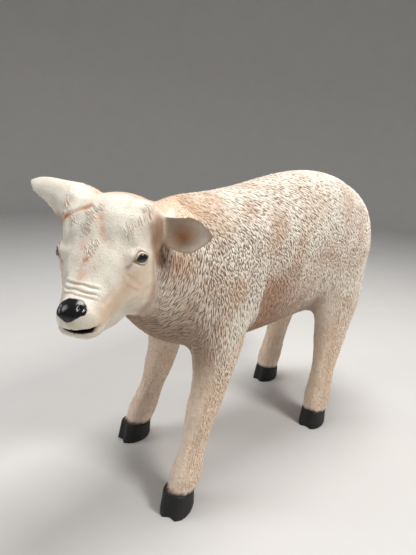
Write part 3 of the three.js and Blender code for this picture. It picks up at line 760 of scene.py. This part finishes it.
def length_of_coat(points):
    """How much longer than usual the ridges are: on the back, the belly's side, the neck."""
    behind, tall = (points / MM).T[1:]
    upper = ramp(tall, 345, 395)
    lower = ramp(tall, 190, 220) * (1 - ramp(tall, 255, 300))
    neck = ramp(-behind, 135, 175)
    return 0.85 + 0.75 * upper + 0.65 * lower + 0.9 * neck * ramp(tall, 200, 240)


print("longest ridges", float(length_of_coat(np.array([[0, 0, 0.42]]))[0]), "times the usual")


# %% Knees, tendons and the roughness of the shanks
def top_middle(name):
    """The middle of the upper end of a solid."""
    corners = points_of(NODES[name].data)
    return corners[corners[:, 2] > corners[:, 2].max() - 4 * MM].mean(axis=0)


def leg_relief(points, normals):
    """How far the skin of the shanks rises: a knee, a waist under it, tendons, roughness.

    Each shank has a height that is zero at the hoof and one at the knee, measured on the
    line from the hoof's middle to the top of the lower leg."""
    rise = 0.16 * wander(points, 9, 31) * (1 - ramp(points[:, 2], 0.20, 0.25))
    for name in HOOVES:
        foot, knee = middle(name), top_middle(name.replace("hoof", "leg") + "_lower")
        climb = (points[:, 2] - foot[2]) / (knee[2] - foot[2])
        axis = foot + climb[:, None] * (knee - foot)
        gap = (points - axis) / MM
        own = (np.hypot(gap[:, 0], gap[:, 1]) < 55) * (1 - ramp(climb, 1.25, 1.5))
        front = ramp(-normals[:, 1], 0.0, 0.7)
        angle = np.degrees(np.arctan2(np.abs(normals[:, 0]), -normals[:, 1]))
        lump = 2.2 * hump(climb - 1.0, 0.16) * front - 1.6 * hump(climb - 0.64, 0.2)
        lump += 1.0 * hump(climb - 0.28, 0.12)
        cannon = ramp(climb, 0.3, 0.45) * (1 - ramp(climb, 0.85, 1.0))
        lump -= 1.5 * cannon * hump(angle - 62 + 6 * wander(points, 25, 33), 9)
        wave = np.sin((climb * 26 + 1.3 * wander(points, 24, 34)) * np.pi)
        lump -= 0.6 * ramp(wave, 0.4, 1) * front * hump(climb - 1.0, 0.14)
        rise += lump * own
    return rise


print("knees", [round(top_middle(name.replace("hoof", "leg") + "_lower")[2], 3) for name in HOOVES])


# %% Folds behind the elbow and in front of the thigh
ELBOW_FOLD = [(237, -43), (266, -52), (307, -48), (341, -42)]          # height, place along
THIGH_FOLD = [(243, 81), (253, 98), (271, 108), (312, 112), (330, 120)]


def past_fold(points, stops):
    """How far behind a fold each point lies, in millimetres."""
    back, tall = (points / MM).T[1:]
    return back - np.interp(tall, *zip(*stops))


def body_folds(points, normals):
    """How far the flank sinks: a step at each fold that runs out towards its middle."""
    tall = points[:, 2] / MM
    elbow, thigh = past_fold(points, ELBOW_FOLD), -past_fold(points, THIGH_FOLD)
    depth = 4.5 * ramp(elbow, -4, 3) * (1 - ramp(elbow, 5, 60)) * (1 - ramp(tall, 310, 355))
    depth += 3.5 * ramp(thigh, -4, 4) * (1 - ramp(thigh, 6, 60)) * (1 - ramp(tall, 300, 345))
    return -depth * ramp(tall, 215, 240) * ramp(np.abs(normals[:, 0]), 0.3, 0.7)


print("folds from", ELBOW_FOLD[0][0], "to", ELBOW_FOLD[-1][0], "mm above the floor")

# %% Sculpt the skin
COAT_DEPTH = 1.9                     # how far the skin lies inside the tops of the ridges
HOOF_DEPTH = 3.0                     # how far it draws in behind a hoof

points = with_lids(points_of(skin.data))
set_points(skin.data, points)
normals = normals_of(skin.data)
local = in_head(points)
cover = fleece_cover(points, normals)
on_head = ramp(-points[:, 1], 0.17, 0.19) * ramp(local[:, 2], -118, -108)
rise = face_relief(local) * on_head * (1 - ear_share(local)) - COAT_DEPTH * cover
rise += leg_relief(points, normals) + body_folds(points, normals)
rise -= HOOF_DEPTH * (1 - ramp(above_coronet(points), -2.5, -0.5))
set_points(skin.data, points + normals * (rise * MM)[:, None])
skin.data.shade_smooth()
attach(skin, "root")
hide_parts(*FLESH)
print("skin of", len(skin.data.polygons), "faces,", round(100 * cover.mean()), "% under fleece")

# %% [markdown]
# ## The ridges of the fleece
#
# Each ridge is one closed bar of three dozen faces: a low arch in section, bent in an S
# and thinner at both ends.  Its foot is sunk in the skin, so there is no gap under it.
# Thousands of them stand side by side, with their places drawn at random but never
# closer than a carver's tool would cut.  A second layer of smaller ridges fills the gaps
# that the first one leaves.  Bars from arrays are chosen over particle hair, which has
# no solid shape, and over sculpting each ridge in the skin, which needs far more faces.

# %% Scatter the roots
def scattered(mesh, count, seed):
    """Random places on a mesh's triangles, in proportion to their area."""
    chance = np.random.default_rng(seed)
    points, normals, triangles = points_of(mesh), normals_of(mesh), triangles_of(mesh)
    a, b, c = (points[triangles[:, i]] for i in range(3))
    area = np.linalg.norm(np.cross(b - a, c - a), axis=1)
    chosen = chance.choice(len(triangles), count, p=area / area.sum())
    u, v = chance.random((2, count, 1))
    u, v = np.where(u + v > 1, 1 - u, u), np.where(u + v > 1, 1 - v, v)
    shares = (1 - u - v, u, v)
    place = sum(s * points[triangles[chosen, i]] for i, s in enumerate(shares))
    facing = sum(s * normals[triangles[chosen, i]] for i, s in enumerate(shares))
    return place, unit(facing)


def close_pairs(points, reach):
    """All pairs of points closer than reach, found cell by cell in a grid."""
    cell = np.floor((points - points.min(axis=0)) / reach).astype(np.int64) + 1
    size = cell.max(axis=0) + 2
    key = (cell[:, 0] * size[1] + cell[:, 1]) * size[2] + cell[:, 2]
    order = np.argsort(key, kind="stable")
    ranked = key[order]
    shifts = np.array([(x * size[1] + y) * size[2] + z
                       for x in (-1, 0, 1) for y in (-1, 0, 1) for z in (-1, 0, 1)])
    firsts, seconds = [], []
    for shift in shifts:
        low = np.searchsorted(ranked, key + shift, "left")
        many = np.searchsorted(ranked, key + shift, "right") - low
        first = np.repeat(np.arange(len(points)), many)
        step = np.arange(many.sum()) - np.repeat(np.cumsum(many) - many, many)
        second = order[np.repeat(low, many) + step]
        near = first != second
        near[near] = np.sum((points[first[near]] - points[second[near]]) ** 2, 1) < reach ** 2
        firsts.append(first[near])
        seconds.append(second[near])
    return np.concatenate(firsts), np.concatenate(seconds)


FARTHEST_RIVAL = 9 * MM


def spread_out(points, lie, normals, long, wide):
    """Keeps points so that none lies in another's oval, "long" by "wide" metres.

    Each point has a rank.  In every round the points that outrank all their rivals stay
    and their rivals go, until nobody is left undecided."""
    first, second = close_pairs(points, min(long.max(), FARTHEST_RIVAL))
    gap = points[second] - points[first]
    along = np.sum(gap * lie[first], axis=1) * 2 / (long[first] + long[second])
    across = np.sum(gap * np.cross(normals[first], lie[first]), axis=1)
    across = across * 2 / (wide[first] + wide[second])
    rivals = along ** 2 + across ** 2 < 1
    first, second = first[rivals], second[rivals]
    first, second = np.r_[first, second], np.r_[second, first]
    state = np.zeros(len(points), int)
    while (state == 0).any():
        live = (state[first] == 0) & (state[second] == 0)
        first, second = first[live], second[live]
        beaten = np.zeros(len(points), bool)
        beaten[first[first > second]] = True
        winners = (state == 0) & ~beaten
        state[winners] = 1
        losers = np.zeros(len(points), bool)
        losers[second[winners[first]]] = True
        state[losers & (state == 0)] = -1
    return state == 1


CLEAR_OF_CROWNS = 1.65 * MM          # how near a small ridge may come to a large one


def rooted(count, seed, long, wide, taken=None):
    """Roots for a layer of ridges, clear of the places already taken.

    "long" and "wide" are the millimetres that a ridge of full size keeps to itself.  A
    place with little cover is often dropped, so the ridges thin out at the edges.  The
    arrays have a row for each root: its place, the way out of the skin, its lie, its
    size and how much longer than usual it is."""
    place, facing = scattered(skin.data, count, seed)
    size = fleece_cover(place, facing)
    kept = ramp(size, 0.08, 0.25) > np.random.default_rng(seed + 1).random(count)
    if taken is not None:
        ends, others = close_pairs(np.concatenate([place, taken]), CLEAR_OF_CROWNS)
        kept[ends[(ends < count) & (others >= count)]] = False
    place, facing, size = place[kept], facing[kept], 0.35 + 0.65 * size[kept]
    lie, longer = lie_of_coat(place, facing), length_of_coat(place)
    kept = spread_out(place, lie, facing, long * MM * size * longer, wide * MM * size)
    return place[kept], facing[kept], lie[kept], size[kept], longer[kept]


# %% Bend the ridges and lay them on the skin
RINGS = np.linspace(-0.5, 0.5, 5)
RING_WIDTH = np.array([0.40, 0.88, 1.0, 0.88, 0.36])
RING_HEIGHT = np.array([0.10, 0.80, 1.0, 0.88, 0.30])
ARCH = np.array([(-1.0, -0.5), (-0.50, 1.0), (0.50, 1.0), (1.0, -0.5)])
LIFT = 3 * MM                        # how far above the skin a ridge waits to be laid on it
MOST_STRAY = 3 * MM                  # how far it may slide while it is laid
print("each ridge has", len(RINGS), "rings of", len(ARCH), "corners")


def bars(rings, corners):
    """Triangles of one closed bar with that many rings of that many corners."""
    ring, corner = np.meshgrid(np.arange(rings - 1), np.arange(corners), indexing="ij")
    here, next_corner = ring * corners + corner, ring * corners + (corner + 1) % corners
    sides = [np.stack([here, here + corners, next_corner], -1),
             np.stack([next_corner, here + corners, next_corner + corners], -1)]
    fan = np.arange(1, corners - 1)
    start = np.stack([0 * fan, fan, fan + 1], -1)
    end = np.stack([0 * fan, fan + 1, fan], -1) + (rings - 1) * corners
    return np.concatenate([part.reshape(-1, 3) for part in (*sides, start, end)])


def laid_on(target, lifted):
    """The nearest places on the target, and the directions up from them to the points."""
    cloud = piece("cloud", lifted, np.empty((0, 3), int))
    with_modifier(cloud, "SHRINKWRAP", target=target, wrap_method="NEAREST_SURFACEPOINT")
    landed = points_of(cloud.data)
    bpy.data.meshes.remove(cloud.data)
    return landed, unit(lifted - landed)


def ridge_shapes(roots, long, wide, tall, seed):
    """Vertices of the ridges, as an array of ridge, ring, corner and axis.

    The spine of a ridge runs along its lie and swings to the side as a sine wave.  It is
    laid on the skin, and an arch stands on it at each ring."""
    place, facing, lie, size, longer = roots
    chance = np.random.default_rng(seed)
    count = len(place)
    size, longer = size[:, None], longer[:, None]
    length = long * MM * size * longer * chance.uniform(0.75, 1.3, (count, 1))
    swing = MM * size * chance.uniform(0.1, 0.8, (count, 1)) * chance.choice([-1, 1], (count, 1))
    wave = chance.uniform(8, 13, (count, 1)) * MM * size * longer
    phase = chance.uniform(-1, 1, (count, 1))
    run = RINGS * length
    sway = swing * (np.sin(2 * np.pi * run / wave + phase) - np.sin(phase))
    side = np.cross(facing, lie)
    spine = place[:, None] + run[..., None] * lie[:, None] + sway[..., None] * side[:, None]
    lifted = spine + LIFT * facing[:, None]
    landed, up = laid_on(skin, lifted.reshape(-1, 3))
    landed, up = landed.reshape(spine.shape), up.reshape(spine.shape)
    way = unit(np.gradient(landed, axis=1))
    side = unit(np.cross(up, way))
    breadth = wide * MM * size * chance.uniform(0.75, 1.2, (count, 1)) * RING_WIDTH
    rise = tall * MM * size ** 1.3 * chance.uniform(0.6, 1.2, (count, 1)) * RING_HEIGHT
    arch = side[:, :, None] * ARCH[:, :1] * breadth[..., None, None]
    sunk = np.minimum(ARCH[:, 1:], 0) * 0.8 * MM
    arch = arch + up[:, :, None] * (np.maximum(ARCH[:, 1:], 0) * rise[..., None, None] + sunk)
    stray = np.linalg.norm(landed - spine, axis=-1).max(axis=1)
    return landed[:, :, None] + arch, stray < MOST_STRAY


def layer(roots, long, wide, tall, seed):
    """The ridges of one layer that lie flat enough, with their roots and ways out."""
    ridges, whole = ridge_shapes(roots, long, wide, tall, seed)
    return ridges[whole], roots[0][whole], roots[1][whole]


# %% Two layers of ridges
TRIES = 150000                       # places drawn for each layer, before most are dropped
BAR = bars(len(RINGS), len(ARCH))

roots = rooted(TRIES, seed=5, long=5.0, wide=1.85)
wool = layer(roots, long=9.0, wide=1.4, tall=1.9, seed=8)
print(len(wool[0]), "ridges, of", len(BAR), "triangles each")
crowns = wool[0][:, :, 1:3].mean(axis=2).reshape(-1, 3)
roots = rooted(TRIES, seed=25, long=3.0, wide=1.55, taken=crowns)
fill = layer(roots, long=5.4, wide=1.15, tall=1.4, seed=28)
print(len(fill[0]), "smaller ridges between them")

# %% [markdown]
# ## Markings
#
# One set of formulas gives the paint for every place on the lamb, so the skin and the
# ridges agree.  The casting is dipped in a peach-brown wash and wiped, so hollows stay
# tan and tops come out near white.  The face is whiter, with tan shades and orange
# streaks.  The nose and the inside of the mouth are black, and the inner ears brown,
# with painted shade in their cups.  Painted shade also darkens the undersides and the
# breast, and deepens the brown wash at the temples and behind the elbow.
# Paint by formula is chosen over a painted picture, because it needs no map of its own
# and gives a ridge the same markings as the skin beside it.


# %% A paint card
def tint(red, green, blue):
    """A colour picked from a paint card, turned from screen values to light values."""
    value = np.array([red, green, blue]) / 255
    return np.where(value <= 0.04045, value / 12.92, ((value + 0.055) / 1.055) ** 2.4)


RIDGE_TOP = tint(250, 241, 227)
WASH = tint(204, 174, 148)
HOLLOW = tint(112, 76, 50)
PEACH = tint(242, 212, 184)
FACE_WHITE = tint(238, 232, 218)
SHADE_TAN = tint(204, 172, 140)
RUST = tint(206, 134, 78)
# brown paint, darkened with painted shade, for the cups of the ears
EAR_BROWN_AND_SHADE = tint(178, 154, 132)
BLACK = tint(22, 21, 22)


def towards(colours, target, share):
    """Moves each colour a share of the way to the target."""
    return colours + (target - colours) * np.clip(share, 0, 1)[:, None]


def layered(colours, coats):
    """Lays thin coats of paint over the colours, each with its own cover."""
    for target, share in coats:
        colours = towards(colours, target, share)
    return colours


print("nine tints, from", np.round(RIDGE_TOP, 2), "to", np.round(BLACK, 3))

# %% Masks on the head
EAR_OPENINGS = {1: (0.3, 0.7, 0.5), -1: (0, -0.3, -1)}


def ear_hollow(local, normals):
    """One inside the cup of an ear: the left faces ahead and up, the right down."""
    cup = np.zeros(len(local))
    for side, opening in EAR_OPENINGS.items():
        inner = ramp(normals @ (unit(np.array(opening)) @ HEAD_AXES), 0.45, 0.8)
        cup = np.where(local[:, 0] * side > 0, inner, cup)
    return cup * ramp(np.abs(local[:, 0]), 58, 70) * ear_share(local)


def nose_mask(points):
    """One on the nose pad, an oval that narrows upwards, where the paint is gloss black."""
    edge = 0.03 * wander(points, 9, 50)
    left, ahead, up = nose_place(in_head(points)).T
    half = 18.4 * (1 - 0.45 * ramp(ahead - up, -3, 20))
    nose = np.sqrt((left / half) ** 2 + (ahead / 13.6) ** 2 + (up / 11.4) ** 2)
    return 1 - ramp(nose + edge, 0.98, 1.07)


def round_eyes(points, reach, shape):
    """A shape of the distance to the edge of the lids, kept within reach of each eye."""
    mask = np.zeros(len(points))
    for side, centre in EYE_CENTRES.items():
        near = np.linalg.norm(points - centre, axis=1) < reach * MM
        mask = np.maximum(mask, near * shape(lid_gap(points, side)[0]))
    return mask


def lid_crease(points):
    """One in the crease round each eye."""
    return round_eyes(points, 24, lambda gap: hump(gap - 3.4, 1.3))


def lid_rim(points):
    """One on the dark edge of the lids."""
    return round_eyes(points, 20, lambda gap: 1 - ramp(gap, 0.1, 0.8))


print("ears open", EAR_OPENINGS)


# %% Paint by place
def face_paint(points, normals):
    """Colours of the head: white, then tan shades, dark lines, rust streaks and the ears,
    whose cups are brown with painted shade.
    """
    local = in_head(points)
    folded = mirrored(local)
    drift = 0.7 + 0.5 * wander(points, 18, 41)
    lines = hump(line_gap(folded, UNDER_EYE), 2.2) + hump(line_gap(folded, UNDER_EYE_LOW), 2)
    hollow = ear_hollow(local, normals)
    return layered(np.repeat(FACE_WHITE[None], len(points), axis=0), [
        (WASH, 0.10 + 0.12 * wander(points, 22, 40)),
        (SHADE_TAN, 0.8 * hump(line_gap(folded, CHEEK_TAN), 11)),
        (PEACH, 0.6 * spot(folded, (50, 12, -30), (20, 34, 28))),
        (PEACH * 0.85, 0.6 * spot(folded, (24, 62, -24), (18, 26, 12))),
        (tint(176, 142, 114), 0.8 * hump(line_gap(folded, CHEEK_CREASE), 6)),
        (tint(176, 142, 112), 0.8 * lid_crease(points)),
        (tint(120, 92, 72), 0.6 * hump(line_gap(folded, TEAR_LINE), 2.2)),
        (tint(190, 152, 120), 0.3 * lines),
        (RUST, 0.5 * drift * hump(line_gap(local, BROW_STREAK), 5)),
        (RUST, 0.45 * drift * hump(line_gap(local, NOSE_STREAK), 6)),
        (RUST, 0.85 * drift * hump(line_gap(local, RIGHT_EAR_CREASE), 5)),
        (RUST, 0.4 * drift * spot(local, (56, -40, 32), (8, 9, 8))),
        # brown paint and painted shade in the cups of the ears
        (EAR_BROWN_AND_SHADE, 0.9 * hollow),
        (RUST, 0.7 * hollow * spot(local, (91, -41, 2), (13, 11, 10)))])


def body_paint(points, normals, height, temple):
    """Colours of the fleece and the legs.

    A wash that runs from dark hollows to pale tops comes first, then drifts of colour,
    pale legs, painted shade on the undersides and the breast, the top of the neck, brown
    wash and painted shade at the temples and on the flank behind the elbow, and the
    orange behind the ears."""
    aside, back, tall = (points / MM).T
    body = HOLLOW + (WASH - HOLLOW) * ramp(height, 0.0, 0.4)[:, None]
    body = body + (RIDGE_TOP - body) * ramp(height, 0.25, 0.7)[:, None]
    leg, top = 1 - ramp(tall, 130, 260), ramp(height, 0.1, 0.5)
    breast = ramp(-normals[:, 1], 0.2, 0.7) * hump(tall - 235, 60) * ramp(-back, 100, 140)
    crest = ramp(normals[:, 2], 0.35, 0.75) * (1 - ramp(back, -150, -60))
    # Behind the elbow fold the flank takes brown wash and painted shade.
    elbow = past_fold(points, ELBOW_FOLD)
    washed_and_shaded = ramp(elbow, -2, 4) * (1 - ramp(elbow, 30, 120)) * ramp(tall, 195, 220)
    washed_and_shaded *= 1 - ramp(tall, 280, 335)
    behind_ear = spot(np.c_[np.abs(aside), back, tall], (62, -184, 340), (26, 20, 26))
    return layered(body, [
        (WASH, 0.12 + 0.15 * wander(points, 70, 60)),
        (WASH * [1.0, 0.86, 0.7], 0.30 * ramp(wander(points, 60, 61), 0.5, 1.1)),
        (tint(204, 160, 122), 0.75 * leg * (1 - top)),
        (RIDGE_TOP, 0.8 * (1 - ramp(tall, 110, 210)) * top),
        (PEACH * 1.06, 0.55 * leg * top),
        # painted shade: darker where the surface faces down, under the belly, the neck and the jaw
        (tint(150, 116, 88), 0.6 * ramp(-normals[:, 2], 0.1, 0.7) * ramp(tall, 170, 220)),
        # painted shade on the forward-facing breast, low between the forelegs
        (tint(166, 134, 106), 0.5 * breast),
        (tint(226, 186, 146), 0.55 * crest),
        # brown wash and painted shade in the hollow of the temple
        (tint(144, 106, 78), 0.85 * temple),
        # brown wash and painted shade on the flank just behind the elbow
        (tint(170, 120, 84), 0.65 * washed_and_shaded),
        (tint(204, 146, 100), 0.45 * behind_ear)])


def markings(points, normals, height):
    """The paint at each point, where height is 0 in the hollows and 1 on the tops."""
    local = in_head(points)
    # The temples take brown wash and painted shade along their hollow.
    temple = 1 - ramp(line_gap(mirrored(local), TEMPLE), 5, 14)
    body = body_paint(points, normals, height, temple)
    rusty = RUST * (1 - 0.5 * ramp(local[:, 1], 20, 60))[:, None]
    face = layered(face_paint(points, normals), [
        # brown wash and painted shade at the temples
        (tint(150, 114, 86), 0.85 * temple),
        (rusty, 0.3 * (1 - ramp(height, 0.1, 0.5)))])
    edge = above_coronet(points) + 0.9 * wander(points, 7, 70)
    return layered(body + (face - body) * face_share(points)[:, None], [
        (BLACK, 1 - ramp(edge, -0.5, 6)),
        (BLACK, np.maximum(nose_mask(points), mouth_inside(local))),
        (tint(66, 50, 42), 0.9 * lid_rim(points))])


# %% Paint the skin
points, normals = points_of(skin.data), normals_of(skin.data)
cover = fleece_cover(points, normals)
colour_attribute(skin.data, "paint", markings(points, normals, 0.54 - 0.28 * cover))
finish = np.c_[nose_mask(points), cover, face_share(points)]
colour_attribute(skin.data, "finish", finish)
print("painted", len(points), "points of skin")

# %% [markdown]
# ## Make the fleece
#
# The ridges are joined into a few pieces from neck to rump.  Each piece also gets a map
# called OFBake: every ridge is a small patch that lies at its root's place on the
# unrolled skin, so that baked colours land where they belong.


# %% Unroll the skin
TRUNK_AXIS, NECK_AXIS, NECK_START, LEG_TOP = 0.32, 0.30, -0.15, 0.235
PATCH = 0.003                        # how far across each ridge's patch is on the map


def round_axis(across, up):
    """The share of a full turn round an axis, from 0 to 1."""
    return np.arctan2(across, up) / (2 * np.pi) + 0.5


def unrolled(points):
    """A place between 0 and 1 for each point: along its part, and round its girth.

    The trunk is unrolled round one level axis, the neck and head round a lower one, and
    each leg round an upright one.  Every part has a strip of its own."""
    aside, back, tall = points.T
    along = (back + 0.20) / 0.56
    place = np.c_[0.03 + 0.94 * along, 0.42 + 0.55 * round_axis(aside, tall - TRUNK_AXIS)]
    ahead = back < NECK_START
    place[ahead] = np.c_[0.03 + 2.2 * (NECK_START - back),
                         0.22 + 0.17 * round_axis(aside, tall - NECK_AXIS)][ahead]
    for number, name in enumerate(HOOVES):
        gap = points - middle(name)
        own = (tall < LEG_TOP) & (np.hypot(gap[:, 0], gap[:, 1]) < 0.09)
        strip = 0.03 + 0.24 * number
        place[own] = np.c_[strip + 0.9 * tall, 0.03 + 0.16 * round_axis(gap[:, 1], gap[:, 0])][own]
    return np.clip(place, 0.005, 0.995)


def add_patches(mesh, roots):
    """Adds the OFBake map: a small patch for each ridge, at its root's place."""
    ring, corner = np.meshgrid(RINGS, np.linspace(-0.5, 0.5, len(ARCH)), indexing="ij")
    patch = PATCH * np.stack([ring, corner], -1).reshape(-1, 2)
    where = (unrolled(roots)[:, None] + patch).reshape(-1, 2)
    corners = np.empty(len(mesh.loops), np.int32)
    mesh.loops.foreach_get("vertex_index", corners)
    layer = mesh.uv_layers.new(name="OFBake")
    layer.data.foreach_set("uv", where[corners].astype(np.float32).ravel())


low, high = unrolled(wool[1]).min(axis=0), unrolled(wool[1]).max(axis=0)
print("the map's ridges lie between", np.round(low, 2), "and", np.round(high, 2))

# %% Join the ridges from neck to rump
MOST_TRIANGLES = 190000
SHADES = (0.82, 1.08)                # how dark or light a ridge is beside its neighbours
BRIGHTEST = 0.95
TOPS = (RING_HEIGHT[:, None] * np.maximum(ARCH[:, 1], 0)).ravel()


def joined_ridges(name, ridges, place, facing, seed):
    """One piece of coat from an array of ridges, painted, with its OFBake map."""
    many, corners = len(ridges), len(TOPS)
    faces = BAR + corners * np.arange(many)[:, None, None]
    part = piece(name, ridges.reshape(-1, 3), faces.reshape(-1, 3))
    facing = np.repeat(facing, corners, axis=0)
    paint = markings(ridges.reshape(-1, 3), facing, np.tile(TOPS, many))
    shade = np.random.default_rng(seed).uniform(*SHADES, (many, 1))
    paint = np.minimum(paint * np.repeat(shade, corners, axis=0), BRIGHTEST)
    colour_attribute(part.data, "paint", paint)
    add_patches(part.data, place)
    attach(part, "root")
    return part


def joined_layer(name, ridges, place, facing):
    """The pieces of one layer, each small enough, in order from the head to the tail."""
    order = np.argsort(place[:, 1])
    shares = np.array_split(order, -(-len(order) * len(BAR) // MOST_TRIANGLES))
    return [joined_ridges("%s_%d" % (name, number + 1), ridges[chosen], place[chosen],
                          facing[chosen], 90 + number)
            for number, chosen in enumerate(shares)]


fleece = joined_layer("fleece", *(np.concatenate(pair) for pair in zip(wool, fill)))
print(len(fleece), "pieces of fleece,", sum(len(part.data.polygons) for part in fleece), "faces")


# %% [markdown]
# ## Materials
#
# Every finish is paint on resin.  The colour comes from the markings, stored at the
# points, and fine noise breaks it up as a brush does.  A bump carries what is too fine
# for the meshes: brush marks on the fleece, small curls on the face, grain on the hooves.


# %% Shader expressions
class Value:
    """A shader socket that can be added, taken away and multiplied like a number."""

    def __init__(self, nodes, socket):
        self.nodes, self.socket = nodes, socket

    def math(self, operation, *others):
        """One Math node on this value and the others."""
        return self.nodes.add("ShaderNodeMath", {"operation": operation}, self, *others)

    def __add__(self, other):
        return self.math("ADD", other)

    def __sub__(self, other):
        return self.math("SUBTRACT", other)

    def __rsub__(self, other):
        return self.nodes.add("ShaderNodeMath", {"operation": "SUBTRACT"}, other, self)

    def __mul__(self, other):
        return self.math("MULTIPLY", other)

    __radd__, __rmul__ = __add__, __mul__

    def between(self, low, high):
        """Zero below low and one above high."""
        settings = {"interpolation_type": "SMOOTHSTEP"}
        return self.nodes.add("ShaderNodeMapRange", settings, self, low, high)


class Finish:
    """A material, and a short way to add its nodes."""

    def __init__(self, name):
        self.material = bpy.data.materials.new(name)
        self.material.use_nodes = True
        self.tree = self.material.node_tree
        self.shader = self.tree.nodes["Principled BSDF"]

    def add(self, kind, settings, *inputs, output=0, **named):
        """Adds a node: first its settings, then the values or links of its sockets."""
        node = self.tree.nodes.new(kind)
        for key, value in settings.items():
            setattr(node, key, value)
        for socket, value in [*enumerate(inputs), *named.items()]:
            self.feed(node.inputs[socket], value)
        return Value(self, node.outputs[output])

    def feed(self, socket, value):
        """Links a value to a socket, or sets the socket to a number, or leaves it alone."""
        if isinstance(value, Value):
            self.tree.links.new(value.socket, socket)
        elif value is not None:
            socket.default_value = value

    def place(self):
        """The point's own coordinates."""
        return self.add("ShaderNodeTexCoord", {}, output="Object")

    def stretched(self, times):
        """Places squeezed by a factor in each direction, which draws marks out in length."""
        return self.add("ShaderNodeVectorMath", {"operation": "MULTIPLY"}, self.place(), times)

    def noise(self, scale, detail=2.0, rough=0.5, twist=0.0, place=None):
        named = {"Vector": place or self.place(), "Scale": scale, "Detail": detail}
        named.update({"Roughness": rough, "Distortion": twist})
        return self.add("ShaderNodeTexNoise", {}, **named)

    def attribute(self, name, output="Color"):
        return self.add("ShaderNodeAttribute", {"attribute_name": name}, output=output)

    def mix(self, share, first, second, blend="MIX"):
        """A blend of two colours, which a Mix node takes in its sockets 6 and 7."""
        settings = {"data_type": "RGBA", "blend_type": blend}
        skipped = [None] * 5
        return self.add("ShaderNodeMix", settings, share, *skipped, first, second, output=2)

    def bump(self, height, depth, strength=1.0):
        """Tips the surface as if its height went up and down by "depth" mm."""
        named = {"Strength": strength, "Distance": depth * MM, "Height": height}
        return self.add("ShaderNodeBump", {}, **named)

    def shade(self, **sockets):
        """Feeds the shader's sockets, named with _ for a space."""
        for name, value in sockets.items():
            self.feed(self.shader.inputs[name.replace("_", " ")], value)

    def dress(self, *things):
        """Puts the material on each object, and tells how many nodes it has."""
        for thing in things:
            thing.data.materials.clear()
            thing.data.materials.append(self.material)
        print(self.material.name, "has", len(self.tree.nodes), "nodes")


# %% [markdown]
# The skin's paint is satin, glossier on the nose and duller under the fleece.  Its bump
# is fine curls on the face and a coarse grain on the body, with short upright strokes
# that show most on the legs.  The strokes are an even pattern drawn out in height.

# %% Painted skin
coat = Finish("painted skin")
masks = coat.add("ShaderNodeSeparateColor", {}, coat.attribute("finish")).socket.node.outputs
shiny, woolly, facial = (Value(coat, mask) for mask in masks[:3])
brushed = coat.noise(320, 3, 0.6, 0.4)
curls = coat.noise(240, 2, 0.5, 2.2)
lines = coat.noise(150, 2, 0.5, 1.6)
worn = brushed.between(0.35, 0.75) * 0.16 * (1 - shiny)
paint = coat.mix(worn, coat.attribute("paint"), (*(WASH * 0.8), 1))
dashes = coat.noise(260, 1, 0.5, 0.8, coat.stretched((1, 1, 0.35)))
dashed = dashes.between(0.56, 0.68) * (1 - facial) * (1 - shiny)
paint = coat.mix(dashed * 0.2, paint, (*RUST, 1), "MULTIPLY")
height = curls * facial * 0.3 + lines * (1 - facial) + brushed * 0.18 - dashed * 0.3
height = height * (1 - 0.8 * shiny)
coat.shade(Base_Color=paint, Roughness=0.41 - 0.22 * shiny + 0.13 * woolly,
           Normal=coat.bump(height, 2.2, 0.9))
coat.dress(skin)

# %% Painted ridges
fleece_paint = Finish("painted fleece")
brushed = fleece_paint.noise(520, 3, 0.6)
worn = brushed.between(0.5, 0.8) * 0.22
woolly = fleece_paint.mix(worn, fleece_paint.attribute("paint"), (*(WASH * 0.85), 1))
fleece_paint.shade(Base_Color=woolly, Roughness=0.44 + 0.12 * brushed,
                   Normal=fleece_paint.bump(brushed, 0.35, 0.7))
fleece_paint.dress(*fleece)

# %% Hooves
horn = Finish("matt black hoof")
grain = horn.noise(190, 3, 0.6, 0.3)
dust = horn.noise(60, 3, 0.6).between(0.5, 0.75) * 0.25
black = horn.mix(dust, (*tint(24, 24, 25), 1), (*tint(70, 66, 62), 1))
horn.shade(Base_Color=black, Roughness=0.5 + 0.2 * grain, Normal=horn.bump(grain, 0.7, 0.7))
horn.dress(*hooves)

# %% Eyes and floor
glass = Finish("gloss black eye")
flecks = glass.noise(420, 2, 0.5).between(0.3, 0.8)
glass.shade(Base_Color=glass.mix(flecks, (*tint(10, 9, 9), 1), (*tint(30, 20, 15), 1)),
            Roughness=0.06, Coat_Weight=1.0, Coat_Roughness=0.03)
glass.dress(*balls)

ground = Finish("pale floor")
speck = ground.noise(9, 2, 0.5)
ground.shade(Base_Color=ground.mix(speck, (*tint(206, 204, 201), 1), (*tint(212, 210, 207), 1)),
             Roughness=0.9)
ground.dress(stage)
print(len(bpy.data.materials), "materials")
